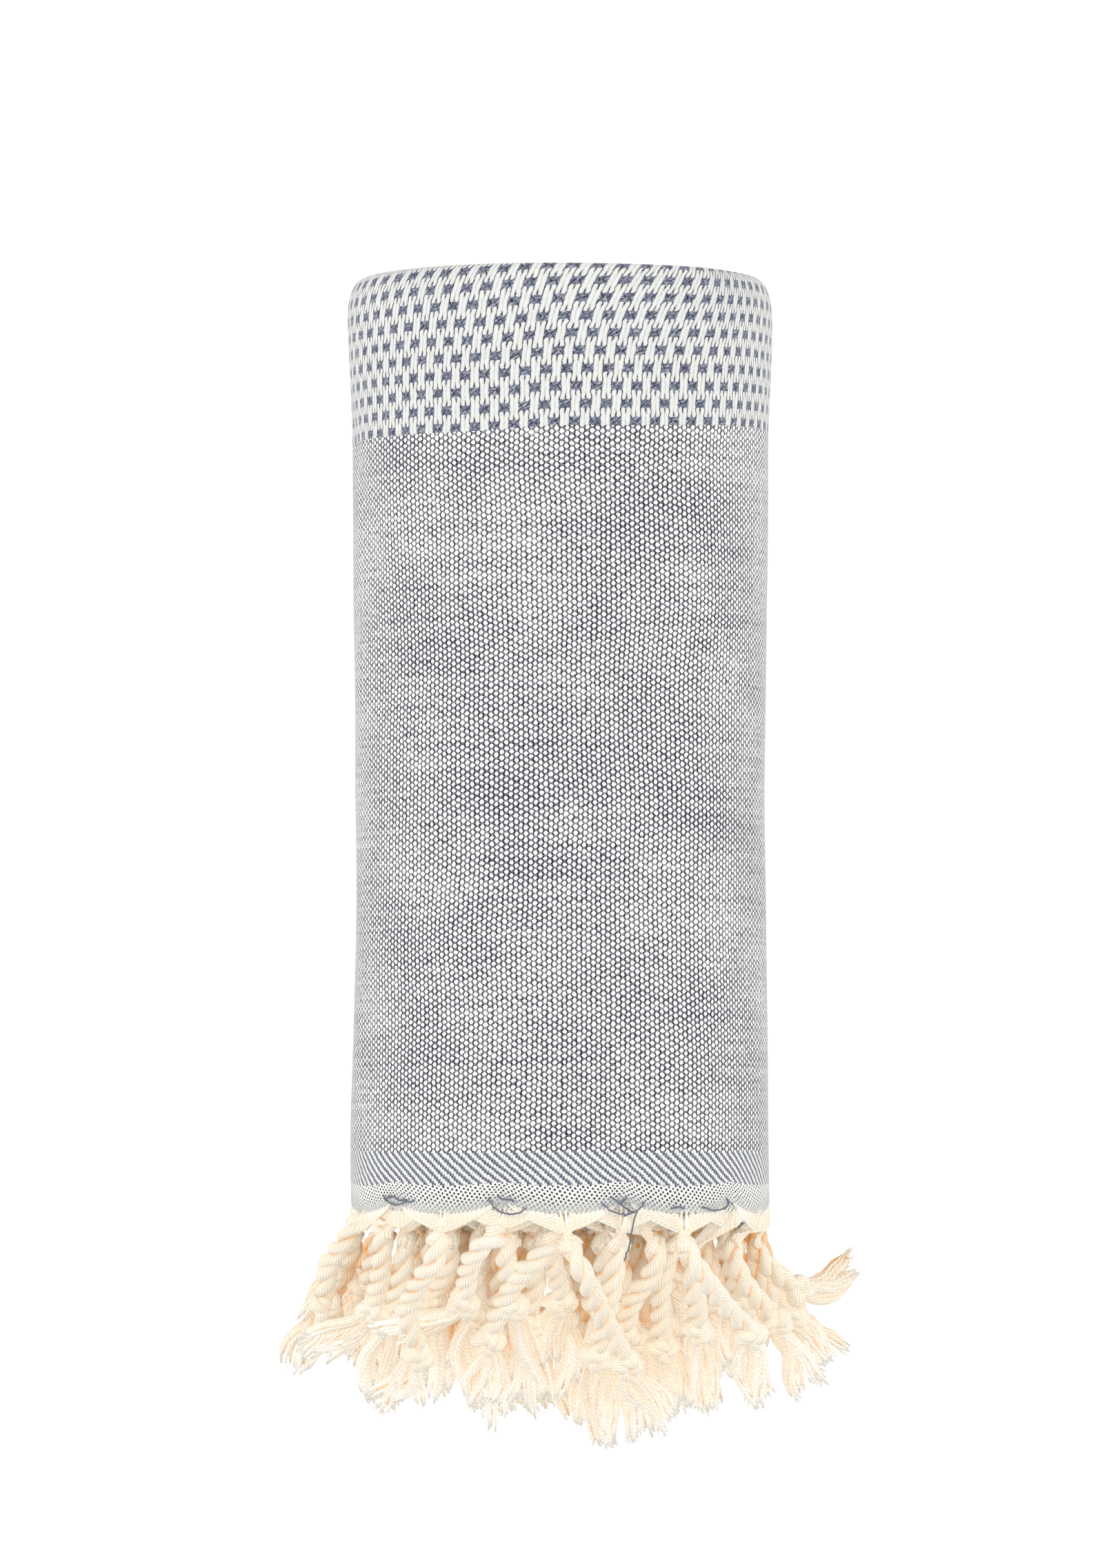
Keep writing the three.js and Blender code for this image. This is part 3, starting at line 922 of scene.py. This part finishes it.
def build_cloth():
    """The outermost layer, which shows, and the rest of the towel as a second piece."""
    roll = roll_sizes()
    levels = folded_levels(roll)
    over = sum(1 for level in levels if level.layer == 1) + 2  # a little way down layer 8
    within = roll.outer_radius - OUTER_TURNS * turn_pitch(roll)
    first_turn = math.pi * (roll.outer_radius**2 - within**2)
    first_turn /= turn_pitch(roll)
    fine = winding_columns(roll, 0.0, first_turn, FINE_SAG)
    plain = winding_columns(roll, 0.0, first_turn, PLAIN_SAG)
    plain = plain + winding_columns(roll, first_turn, wound_length(roll), PLAIN_SAG)[1:]
    points, wide = cloth_points(roll, levels, plain)
    run = run_along(points, roll)

    outer = Bunch()
    skin, skin_wide = cloth_points(roll, levels[:over], fine)
    keep = np.ones((len(fine) - 1, over - 1), bool)
    shell(outer, skin, skin_wide, run[:over], roll.cloth, keep)
    inner = Bunch()
    keep = np.ones((len(plain) - 1, len(levels) - 1), bool)
    keep[: plain.index(first_turn), : over - 1] = False
    shell(inner, points, wide, run, roll.cloth, keep)
    cotton = fibre_material("Woven cotton", weave_group(weave_looks(), roll), {}, 0.16 * MM, 0.5, 0.35)
    for bunch, name in ((outer, "cloth_outer_layer"), (inner, "cloth_inner_layers")):
        piece = bunch.object(name, cotton)
        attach(piece, "root")
        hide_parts("towel")


# ---- The fringes ----

# How a tassel lies that isn't placed one by one: how far out and how low its knot and tip come.
Slump = namedtuple("Slump", "reach fan height")
SLUMP_KNOT = Slump(0.57, 1.12, 0.70)
SLUMP_TIP = Slump(1.00, 1.26, 0.48)
REACH = {"outer": 58 * MM, "inner": 49 * MM}
LOWEST = 3.5 * MM  # middle of a tassel that lies on the floor
SIDE_PULL = 0.3  # how much less far the tassels at the sides reach
FALL_AT = (0, 0.28, 0.44, 0.58, 0.78, 1)  # shares of a tassel's length,
FALL = (1.0, 0.97, 0.84, 0.70, 0.58, 0.48)  # and of its root's height that are left there
ROOT_DROP = 7.5 * MM  # how far below the hem a tassel's threads come together
ROOT_RIBBON = 4.2 * MM  # how wide a ribbon of a tassel's threads is along the hem
ROOT_CROSS = 1.6 * MM  # how near the tassel's middle its threads leave the hem
BRUSH_STEPS = 24  # points along the middle of a brush
TASSELS = 36
FLOOR_CLEAR = 0.35 * MM  # least air between a thread and the floor
HEAP_REACH = 52 * MM  # how far in front of the hem the heap of tassels slopes down
HEAP_END = 13 * MM  # and its height there

# How finely a tassel is made: the steps and sides of its tubes, how many of its threads are drawn
# and how thick, and how much tone it loses at most as painted shade where it lies deep.
Detail = namedtuple("Detail", (
    "cord_step cord_sides cord_depth knot_steps knot_sides thinning root_steps root_sides root_radius "
    "root_depth locks lock_steps core_sides yarn_sides yarn_girth yarn_depth hairs"
))
SHOWN = Detail(
    cord_step=0.45 * MM, cord_sides=14, cord_depth=0.6, knot_steps=66, knot_sides=12, thinning=1,
    root_steps=16, root_sides=6, root_radius=0.47 * MM, root_depth=0.8, locks=4, lock_steps=16,
    core_sides=8, yarn_sides=6, yarn_girth=1, yarn_depth=0.6, hairs=3,
)
HIDDEN = Detail(
    cord_step=1.1 * MM, cord_sides=9, cord_depth=0.28, knot_steps=36, knot_sides=8, thinning=2,
    root_steps=8, root_sides=5, root_radius=0.66 * MM, root_depth=0.2, locks=3, lock_steps=9,
    core_sides=6, yarn_sides=5, yarn_girth=1.45, yarn_depth=0.24, hairs=1,
)

# Tassels placed one by one, in millimetres across and below the hem: the cord, its knot, the brush
# of loose yarns, and how much it is raised above the slump or lowered under another.
Laid = namedtuple("Laid", "end number cord knot brush lift")
LAID = (
    Laid("outer", 4, ((-47, -4), (-52, -10), (-56, -16)), (-57, -24), ((-57, -30), (-61, -37)), 2),
    Laid("inner", 4, ((-42, -5), (-43, -16)), (-45, -25), ((-49, -29), (-60, -36)), -2),
    Laid("outer", 5, ((-28, -7), (-30, -14), (-34, -20), (-37, -27)), (-34, -36),
         ((-37, -41), (-43, -49)), 3),
    Laid("inner", 5, ((-13, -7), (-19, -11), (-22, -16)), (-23, -23), ((-26, -27), (-43, -32)), 2),
    Laid("inner", 15, ((0, -8), (-6, -14), (-12, -21)), (-17, -32), ((-17, -37), (-19, -49)), 2),
    Laid("outer", 15, ((-12, -7), (-13, -14)), (-12, -24), ((-9, -31), (-5, -51)), -3),
    Laid("outer", 23, ((-4, -7), (-2, -14)), (0, -23), ((-1, -28), (-2, -39)), 5),
    Laid("outer", 6, ((1, -8), (5, -17), (9, -25)), (15, -38), ((18, -43), (24, -53)), 4),
    Laid("inner", 6, ((14, -8), (12, -20)), (9, -36), ((9, -44), (10, -59)), -3),
    Laid("outer", 16, ((22, -8), (22, -16), (17, -24)), (15, -31), ((15, -38), (16, -58)), -4),
    Laid("inner", 16, ((27, -8), (24, -20)), (24, -34), ((27, -38), (31, -48)), -2),
    Laid("outer", 7, ((28, -8), (33, -17), (39, -25)), (45, -31), ((45, -36), (48, -48)), 4),
    Laid("inner", 7, ((30, -10), (32, -22)), (33, -30), ((33, -36), (35, -51)), 0),
    Laid("outer", 24, ((24, -7), (25, -12)), (26, -17), ((28, -22), (30, -32)), -2),
    Laid("outer", 8, ((42, -7), (41, -13), (44, -20)), (51, -28), ((54, -33), (60, -46)), 3),
    Laid("inner", 8, ((45, -8), (49, -15)), (56, -21), ((61, -21), (71, -17)), 2),
    Laid("inner", 17, ((42, -9), (49, -20)), (55, -27), ((59, -31), (67, -39)), -4),
)

# Loose blue-grey picks at the notches, in millimetres across, from the hem and off the cloth.
STRAYS = (
    ((-42.4, 1.2, 0), (-41.0, -0.6, 0.5), (-38.8, -1.0, 1), (-36.8, -0.4, 0.8), (-34.8, -0.2, 0)),
    ((-42.0, 0.2, 0), (-40.2, 0.9, 0.6), (-38.4, 0.0, 1.2), (-37.0, 0.3, 0.4)),
    ((-17.2, 0.6, 0), (-15.6, -1.9, 0.6), (-12.8, -3.2, 1), (-9.6, -2.9, 0.6), (-8.4, -1.7, 0)),
    ((-15.0, 1.0, 0), (-13.6, 0.1, 0.7), (-12.0, 0.4, 0.9), (-11.4, -0.3, 0)),
    ((9.6, -0.6, 0), (12.0, -2.6, 0.8), (15.6, -3.3, 1.2), (18.6, -1.9, 0.7), (19.6, -0.4, 0)),
    ((11.8, 0.9, 0), (13.6, -0.6, 0.9), (15.4, -1.9, 1.4), (17.2, -3.0, 0.8)),
    ((15.6, 0.8, 0), (14.2, -0.9, 0.8), (16.0, -2.6, 1.5), (15.0, -3.6, 0.6)),
    ((17.8, -2.4, 1.2), (17.0, -5.4, 1.6), (16.4, -8.4, 0.8), (16.0, -11.0, 0), (14.8, -14.2, -2)),
    ((33.2, -1.6, 0), (35.6, -2.4, 0.9), (38.4, -2.0, 1.2), (39.8, -0.6, 0.7), (39.2, 0.6, 0)),
    ((26.0, -2.0, 0.2), (27.6, -1.5, 1), (29.0, -1.9, 0.4)),
)


def hem_point(roll, end, wound, above=0.0):
    """Points of one end's hem after lengths of winding, or some way above it."""
    wound = np.asarray(wound, float)
    layer = END_LAYER[end]
    place = layer_place(layer, wound)
    wide = wound * (1 + roll.squash) / 2
    low = 0.0 if end == "outer" else INNER_HEM
    height = low - SCALLOP_DROP * scallop(wide, end) + above
    return winding_points(roll, turned_back(roll, wound), place, height)


def tassel_route(roll, end, number, random):
    """The line of a tassel's cord, down to its knot, and of its brush."""
    pitch = fringe_sizes().pitch
    wound = (number + FIRST_TASSEL[end]) * pitch / ((1 + roll.squash) / 2)
    root = hem_point(roll, end, wound)
    laid = next((row for row in LAID if (row.end, row.number) == (end, number)), None)
    if laid:
        cord = [(x * MM, HEM_Y + y * MM) for x, y in (*laid.cord, laid.knot)]
        brush = [(x * MM, HEM_Y + y * MM) for x, y in (laid.knot, *laid.brush)]
        lift = laid.lift * MM
    else:
        pulled = 1 - SIDE_PULL * (root[0] / roll.outer_radius) ** 2
        reach = REACH[end] * random.uniform(0.82, 1.0)
        swing = random.uniform(-3.5, 3.5) * MM
        knot = (root[0] * SLUMP_KNOT.fan + swing * 0.6, HEM_Y - reach * SLUMP_KNOT.reach * pulled)
        tip = (root[0] * SLUMP_TIP.fan + swing, HEM_Y - reach * SLUMP_TIP.reach * pulled)
        start = (root[0] + swing * 0.1, HEM_Y - ROOT_DROP)
        middle = ((start[0] + knot[0]) / 2 + random.uniform(-1.5, 1.5) * MM, (start[1] + knot[1]) / 2)
        cord = [start, middle, knot]
        bend = ((knot[0] + tip[0]) / 2 + random.uniform(-2, 2) * MM, (knot[1] + tip[1]) / 2)
        brush = [knot, bend, tip]
        lift = random.uniform(-1.5, 1.5) * MM
    line = np.array(cord + brush[1:])
    run = np.concatenate([[ROOT_DROP], np.linalg.norm(np.diff(line, axis=0), axis=1)]).cumsum()
    at = run / run[-1]
    height = LOWEST + (root[2] - LOWEST) * np.interp(at, FALL_AT, FALL) + lift * smooth(at / 0.4)
    line = np.concatenate([line, height[:, None]], 1)
    return line[: len(cord)], line[len(cord) - 1 :], SHOWN if laid else HIDDEN


def sunk(paths):
    """How far below the top of the heap of tassels each point lies. The heap slopes from the roll's
    upper surface at the hem down to HEAP_END in front of it."""
    roll = roll_sizes()
    aside = np.clip((paths[..., 0] - roll.centre_x) / roll.outer_radius, -0.98, 0.98)
    front = roll.centre_z + roll.outer_radius * roll.squash * np.sqrt(1 - aside**2)
    down = np.clip((HEM_Y - paths[..., 1]) / HEAP_REACH, 0, 1)
    return np.maximum(front + (HEAP_END - front) * down**0.8 - paths[..., 2], 0)


def depth_tone(paths, depth, most, shallow=0.0):
    """Painted shade: how much tone is lost at each point, the more the deeper it lies, up to a most."""
    return np.clip(sunk(paths) / depth - shallow, 0, most)


def on_floor(paths, radius):
    """Lifts in place what would lie below the floor."""
    paths[..., 2] = np.maximum(paths[..., 2], radius + FLOOR_CLEAR)
    return paths


def add_cord(bunch, sizes, line, outward, detail, random):
    """Two strands laid round each other, the first of them uppermost at the start. Returns where
    each starts, and its direction."""
    rough = smooth_path(line, 60)
    full = np.linalg.norm(np.diff(rough, axis=0), axis=1).sum()
    count = max(int(full / detail.cord_step), 10)
    middle = smooth_path(line, count)
    across, other = sides_along(middle[None])
    run = np.linspace(0, full, count)
    phase = TURN * run / (sizes.twist * random.uniform(0.92, 1.08))
    phase = phase + math.atan2(outward @ other[0, 0], outward @ across[0, 0])
    strands = []
    for half in (0, math.pi):
        turn = phase + half
        out = across[0] * np.cos(turn)[:, None] + other[0] * np.sin(turn)[:, None]
        lay = sizes.lay * (0.8 + 0.2 * smooth(run / (4 * MM)))
        strands.append(middle + out * lay[:, None])
    paths = np.stack(strands)
    swell = 1 + 0.07 * np.sin(run / (4.3 * MM) + random.uniform(0, 6, (2, 1)))
    radii = sizes.strand * (0.72 + 0.28 * smooth(run / (3 * MM))) * swell
    radii = radii * (1 - 0.2 * smooth((run - full + 3 * MM) / (3 * MM)))
    sink = smooth((run - full + 5 * MM) / (5 * MM)) * 1.2 * MM
    paths = on_floor(paths - np.array([0, 0, 1]) * sink[:, None], sizes.strand)
    tone = random.uniform(0.5, 0.68)
    middle = (paths[0] + paths[1]) / 2
    # Painted shade: tone is lost where the cord lies deep in the heap, and near its middle, in the valley
    # between its strands.
    tones = tone - depth_tone(paths, 16 * MM, detail.cord_depth)
    core = (middle[None, :, None], 1.0 * MM, 2.4 * MM)
    add_tubes(bunch, paths, radii, detail.cord_sides, tones, core=core)
    return paths[:, 0], unit(paths[:, 3] - paths[:, 0])


def add_roots(bunch, sizes, roll, end, number, starts, ways, outward, detail):
    """Warp threads that turn at the hem and run along it in two ribbons, from both halves of a
    scallop to its middle. There the one from the right crosses over, and each becomes a strand."""
    count = sizes.warps // detail.thinning
    half = count // 2
    pitch = sizes.pitch / ((1 + roll.squash) / 2)
    middle = (number + FIRST_TASSEL[end]) * pitch
    step = pitch * 0.985 / count
    ribbon = ROOT_RIBBON / (half - 1)
    paths = []
    for i in range(count):
        right = i >= half
        strand = 0 if right else 1
        from_notch = count - 1 - i if right else i
        begin = (half - from_notch - 0.5) * step
        away = np.linspace(begin, min(ROOT_CROSS, begin), 6 if begin > ROOT_CROSS else 2)
        above = np.minimum((begin - away) / step, half - 1 - from_notch)
        sign = 1 if right else -1
        place = np.clip(middle + sign * away, 0.3 * MM, wound_length(roll) - 0.3 * MM)
        down = -(0.25 * MM + ribbon * above)
        down[0] = 0.9 * MM
        line = hem_point(roll, end, place, down)
        way = ways[strand]
        side = unit(np.cross(way, outward))
        lift = np.cross(side, way)
        fan = math.radians(80) * (1 - 2 * from_notch / (half - 1)) * sign
        target = starts[strand] + way * 2.2 * MM
        target = target + (side * math.sin(fan) + lift * math.cos(fan)) * sizes.strand * 0.8
        layer = (0.32 if i % 2 else -0.16) + (0.5 if right else -0.2)
        raised = np.linspace(0, 1, len(line))[:, None] * layer
        raised[0] -= 0.12
        line = line + outward * raised * MM
        line = np.concatenate([line, target[None], (target + way * 2.2 * MM)[None]])
        paths.append(smooth_path(line, detail.root_steps))
    paths = on_floor(np.array(paths), 0.5 * MM)
    part = np.arange(detail.root_steps) / detail.root_steps
    radii = detail.root_radius * np.interp(part, (0, 0.15, 0.3), (0.45, 0.7, 1.0))
    # Every second yarn is painted darker, as shade between neighbouring yarns, and tone is lost as painted
    # shade where the yarns lie deep; they are paler toward the hem.
    tones = np.linspace(1.3, 0.8, len(part))[None] - 0.5 * (np.arange(count) % 2)[:, None]
    tones = tones - depth_tone(paths, 12 * MM, detail.root_depth, 0.5)
    add_tubes(bunch, paths, radii, detail.root_sides, tones)


def add_knot(bunch, sizes, centre, way, detail, random):
    """An overhand knot pulled tight: the cord's two strands go three times over and under."""
    t = np.linspace(0, TURN, detail.knot_steps)
    size = sizes.knot * random.uniform(0.94, 1.08)
    loop = np.stack([
        np.sin(t) + 2 * np.sin(2 * t), np.cos(t) - 2 * np.cos(2 * t), -1.5 * np.sin(3 * t)
    ], -1) * size
    spin = random.uniform(0, TURN)
    turned = loop.copy()
    turned[:, 0] = loop[:, 0] * math.cos(spin) - loop[:, 1] * math.sin(spin)
    turned[:, 1] = loop[:, 0] * math.sin(spin) + loop[:, 1] * math.cos(spin)
    way = unit(way)
    side = unit(np.cross(way, (0, 0, 1.0)))
    up = np.cross(side, way)
    lean = random.uniform(-0.45, 0.45)
    normal = up * math.cos(lean) + side * math.sin(lean)
    flank = np.cross(way, normal)
    centre = centre + way * 1.2 * MM + up * 0.9 * MM
    middle = (
        centre + way * turned[:, :1] * 0.92 + flank * turned[:, 1:2] * 1.05 + normal * turned[:, 2:3]
    )
    across, other = sides_along(middle[None])
    turn = t * 3.6 + spin
    out = across[0] * np.cos(turn)[:, None] + other[0] * np.sin(turn)[:, None]
    paths = np.stack([middle + out * sizes.lay * 0.68, middle - out * sizes.lay * 0.68])
    paths = on_floor(paths, 1.2 * MM)
    tone = random.uniform(0.55, 0.7)
    # Painted shade: tone is lost inside the knot and where it lies deep in the heap.
    core = (centre, 1.6 * MM, 3.6 * MM)
    tones = tone - depth_tone(paths, 16 * MM, detail.cord_depth)
    add_tubes(bunch, paths, sizes.strand * 0.92, detail.knot_sides, tones, core=core)


def blend_rows(rows, index):
    """Rows read at places between them."""
    return np.stack([np.interp(index, np.arange(len(rows)), rows[:, i]) for i in range(3)], -1)


def add_hairs(bunch, yarns, hairs_each, random):
    """Fine fibres that stand out from the yarns' ends."""
    ends = np.repeat(yarns[:, -1], hairs_each, axis=0)
    ways = np.repeat(unit(yarns[:, -1] - yarns[:, -3]), hairs_each, axis=0)
    loose = random.normal(0, 0.35, (len(ends), 3)) + ways
    long = random.uniform(0.4, 1.5, (len(ends), 1, 1)) * MM
    t = np.linspace(-0.4, 1, 3)[None, :, None]
    hairs = ends[:, None] + (ways[:, None] * (1 - t) + unit(loose)[:, None] * t) * t * long
    hairs = hairs + random.normal(0, 0.16, (len(ends), 1, 3)) * MM
    add_tubes(bunch, on_floor(hairs, 0.1 * MM), 0.1 * MM * np.linspace(1, 0.6, 3)[None], 4, 1.2)


def add_brush(bunch, sizes, line, detail, random):
    """Loose yarns below the knot, in a few thick locks that wave and part. Each lock has a soft
    core with yarns laid round it, frayed at their tips."""
    each = sizes.yarns // detail.thinning // detail.locks
    steps = detail.lock_steps
    middle = smooth_path(line, BRUSH_STEPS)
    across, other = sides_along(middle[None])
    full = np.linalg.norm(np.diff(middle, axis=0), axis=1).sum()
    ahead = unit(middle[-1] - middle[-3])
    start = random.uniform(0, TURN)
    for lock in range(detail.locks):
        long = random.uniform(0.86, 1.04)
        part = np.linspace(0, 1, steps)
        run = part * long
        index = np.clip(run, 0, 1) * (BRUSH_STEPS - 1)
        centre = blend_rows(middle, index) + ahead * np.maximum(run - 1, 0)[:, None] * full
        way = start + lock * TURN / detail.locks + random.uniform(-0.3, 0.3)
        apart = (0.9 + 1.2 * smooth(run * 1.3)) * MM
        bend = random.uniform(0.7, 2.0) * MM * np.minimum(run * 3, 1)
        bend = bend * np.sin(run * random.uniform(3, 6) + random.uniform(0, 6))
        sideways = math.cos(way) * apart * 1.25 + bend
        upward = math.sin(way) * apart * 0.75 + 0.4 * bend
        u_side, v_side = blend_rows(across[0], index), blend_rows(other[0], index)
        path = centre + u_side * sideways[:, None] + v_side * upward[:, None]
        girth = (1.0 + 0.35 * smooth(run * 1.6) - 0.3 * smooth((part - 0.75) * 4)) * MM
        girth = girth * random.uniform(0.9, 1.1)

        core = on_floor(path[None].copy(), 1.2 * MM)
        radii = girth * np.where(part > 0.93, 0.35, 0.95)
        # The lock's core is painted in shade, and shows dark between its yarns.
        add_tubes(bunch, core[:, :-1], radii[None, :-1], detail.core_sides, CORE_SHADE)

        twist = random.uniform(-1.6, 1.6) * part + random.normal(0, 0.12, (each, 1))
        spin = np.arange(each)[:, None] * TURN / each + twist
        out = girth[None] * random.uniform(0.9, 1.12, (each, 1))
        tips = random.uniform(0.93, 1.05, (each, 1))
        reach = np.clip(part[None] * tips, 0, 1) * (steps - 1)
        own = np.stack([blend_rows(path, row) for row in reach])
        beyond = np.maximum(part[None] * tips - 1, 0) * (steps - 1)
        own = own + (path[-1] - path[-2]) * beyond[..., None]
        wave = 0.14 * MM * np.sin(run * full / (0.9 * MM) + random.uniform(0, 6, (each, 1)))
        own = own + u_side[None] * (np.cos(spin) * out + wave)[..., None]
        own = own + v_side[None] * (np.sin(spin) * out * 0.85 - wave)[..., None]
        own = own + random.normal(0, 0.3, (each, 1, 3)) * MM * (part**3)[None, :, None]
        own = on_floor(own, sizes.yarn)
        thin = np.linspace(1.05, 0.85, steps) * np.where(np.arange(steps) == steps - 1, 0.55, 1)
        radii = sizes.yarn * random.uniform(0.88, 1.12, (each, 1)) * thin[None]
        radii = radii * detail.yarn_girth
        tones = np.linspace(0.4, 0.85, steps)[None] + random.uniform(-0.16, 0.16, (each, 1))
        # Painted shade where a yarn lies deep in the heap.
        tones = tones + random.uniform(-0.1, 0.1) - depth_tone(own, 20 * MM, detail.yarn_depth)
        # Painted light on the yarns on a lock's upper side, painted shade on those underneath.
        upward_side = np.cos(spin) * u_side[None, :, 2] + np.sin(spin) * v_side[None, :, 2]
        tones = tones + 0.2 * upward_side - 0.06
        add_tubes(bunch, own, radii, detail.yarn_sides, np.clip(tones, 0, 1.2))
        add_hairs(bunch, own, detail.hairs, random)


def add_stray_weft(bunch, roll):
    """Ends of the last blue-grey picks that hang at the notches between tassels."""
    front = hem_point(roll, "outer", np.linspace(0, 0.84 * TURN * roll.outer_radius, 300))
    front = front[front[:, 2] > roll.centre_z]
    front = front[np.argsort(front[:, 0])]
    for number, stray in enumerate(STRAYS):
        random = np.random.default_rng(500 + number)
        x, y, off = np.array(stray).T * MM
        surface = np.interp(x, front[:, 0], front[:, 2])
        line = np.stack([x, HEM_Y + y, surface + off + 0.55 * MM], -1)
        path = smooth_path(line, 7 * len(x))
        path = path + random.normal(0, 0.09, path.shape) * MM
        add_tubes(bunch, path[None], 0.2 * MM, 6)


def build_fringe(end):
    """All the tassels along one end of the towel, in a few pieces."""
    roll, sizes = roll_sizes(), fringe_sizes()
    groups = {"front": {}, "back": {}}
    for number in range(TASSELS):
        random = np.random.default_rng(1000 * (end == "inner") + number + 7)
        cord_line, brush_line, detail = tassel_route(roll, end, number, random)
        made = groups["front" if detail is SHOWN else "back"]
        cords = made.setdefault("cords", Bunch())
        yarns = made.setdefault("yarns", Bunch())
        middle = np.array([roll.centre_x, cord_line[0][1], roll.centre_z])
        outward = unit(cord_line[0] - middle)
        starts, ways = add_cord(cords, sizes, cord_line, outward, detail, random)
        add_roots(yarns, sizes, roll, end, number, starts, ways, outward, detail)
        add_knot(cords, sizes, cord_line[-1], brush_line[1] - cord_line[-2], detail, random)
        add_brush(yarns, sizes, brush_line, detail, random)
    for where, made in groups.items():
        for kind, bunch in made.items():
            material = cord_material() if kind == "cords" else yarn_material()
            piece = bunch.object(f"{end}_fringe_{where}_{kind}", material)
            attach(piece, "root")
            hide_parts(f"{end}_fringe")
            piece.visible_shadow = False  # light gets through the loose cotton
    if end == "outer":
        strays = Bunch()
        add_stray_weft(strays, roll)
        piece = strays.object("outer_fringe_stray_weft", weft_material())
        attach(piece, "root")


# ---- The stage ----


def floor_material():
    """A matt floor, which glows a little where it is looked at, and not in the light it throws."""
    material, nodes = empty_material("Pale floor")
    matt = nodes.make("ShaderNodeBsdfDiffuse", {"Color": rgba(stage_looks().floor)})
    glow = nodes.make("ShaderNodeEmission", {"Strength": 0.32})
    rays = nodes.put("ShaderNodeLightPath", {}).outputs
    camera, glossy, through = (
        Value(nodes, rays[f"Is {kind} Ray"]) for kind in ("Camera", "Glossy", "Transmission")
    )
    bright = nodes.make("ShaderNodeAddShader", {0: matt, 1: glow})
    seen = camera.most(glossy).most(through)
    mixed = nodes.make("ShaderNodeMixShader", {0: seen, 1: matt, 2: bright})
    nodes.put("ShaderNodeOutputMaterial", {"Surface": mixed})
    return material


def build_stage():
    looks = stage_looks()
    scene = bpy.context.scene
    mesh = bpy.data.meshes.new("floor")
    half = 3.0
    corners = [(-half, -half, 0), (half, -half, 0), (half, half, 0), (-half, half, 0)]
    mesh.from_pydata(corners, [], [(0, 1, 2, 3)])
    mesh.materials.append(floor_material())
    floor = bpy.data.objects.new("floor", mesh)
    scene.collection.objects.link(floor)

    world = bpy.data.worlds.new("Even light")
    world.use_nodes = True
    world.node_tree.nodes["Background"].inputs["Color"].default_value = (1, 1, 1, 1)
    world.node_tree.nodes["Background"].inputs["Strength"].default_value = looks.sky
    scene.world = world

    lamps = (
        ("left_light", (-1.25, 0.25, 0.85), looks.side * 1.1, 0.9),
        ("right_light", (1.25, 0.25, 0.85), looks.side, 0.9),
        ("front_light", (0.1, -0.6, 1.7), looks.front, 0.8),
    )
    for name, place, power, across in lamps:
        lamp = bpy.data.lights.new(name, "AREA")
        lamp.shape = "DISK"
        lamp.size = across
        lamp.energy = power
        light = bpy.data.objects.new(name, lamp)
        light.location = place
        light.rotation_mode = "QUATERNION"
        light.rotation_quaternion = (Vector((0, 0, 0.04)) - light.location).to_track_quat("-Z", "Y")
        scene.collection.objects.link(light)

    lens = bpy.data.cameras.new("camera")
    lens.sensor_width = 36
    lens.lens = looks.lens
    lens.clip_end = 20
    camera = bpy.data.objects.new("camera", lens)
    aim = Vector((-0.3 * MM, -10.6 * MM, 48 * MM))
    camera.location = aim + Vector((0, -93.4 * MM, looks.distance))
    camera.rotation_mode = "QUATERNION"
    camera.rotation_quaternion = (aim - camera.location).to_track_quat("-Z", "Y")
    scene.collection.objects.link(camera)
    scene.camera = camera
    scene.view_settings.view_transform = "Standard"


# ---- Operators and panel ----


class TOWEL_OT_cloth(bpy.types.Operator):
    """Build the folded and rolled cloth"""

    bl_idname = "towel.cloth"
    bl_label = "Rolled cloth"

    def execute(self, context):
        build_cloth()
        return {"FINISHED"}


class TOWEL_OT_fringes(bpy.types.Operator):
    """Build the knotted fringes of both ends"""

    bl_idname = "towel.fringes"
    bl_label = "Knotted fringes"

    def execute(self, context):
        for end in END_LAYER:
            build_fringe(end)
        return {"FINISHED"}


class TOWEL_OT_stage(bpy.types.Operator):
    """Build the floor, the lights and the camera"""

    bl_idname = "towel.stage"
    bl_label = "Floor, lights and camera"

    def execute(self, context):
        build_stage()
        return {"FINISHED"}


class TOWEL_PT_panel(bpy.types.Panel):
    """Sizes, colours and steps of the towel"""

    bl_idname = "TOWEL_PT_panel"
    bl_label = "Rolled beach towel"
    bl_space_type = "VIEW_3D"
    bl_region_type = "UI"
    bl_category = "Towel"

    def draw(self, context):
        layout = self.layout
        for group in ("towel_roll", "towel_weave", "towel_fringe", "towel_stage"):
            box = layout.box()
            settings = getattr(context.scene, group)
            for name in settings.__annotations__:
                box.prop(settings, name)
        for operator in OPERATORS:
            layout.operator(operator.bl_idname)


OPERATORS = (TOWEL_OT_cloth, TOWEL_OT_fringes, TOWEL_OT_stage)
SETTINGS = {
    "towel_roll": RollSizes,
    "towel_weave": WeaveLooks,
    "towel_fringe": FringeSizes,
    "towel_stage": StageLooks,
}


def register():
    for made in (*SETTINGS.values(), *OPERATORS, TOWEL_PT_panel):
        bpy.utils.register_class(made)
    for name, group in SETTINGS.items():
        setattr(bpy.types.Scene, name, PointerProperty(type=group))


def unregister():
    for name in SETTINGS:
        delattr(bpy.types.Scene, name)
    for made in reversed((*SETTINGS.values(), *OPERATORS, TOWEL_PT_panel)):
        bpy.utils.unregister_class(made)


def main():
    register()
    bpy.ops.towel.cloth()
    bpy.ops.towel.fringes()
    bpy.ops.towel.stage()


if __name__ == "__main__":
    main()
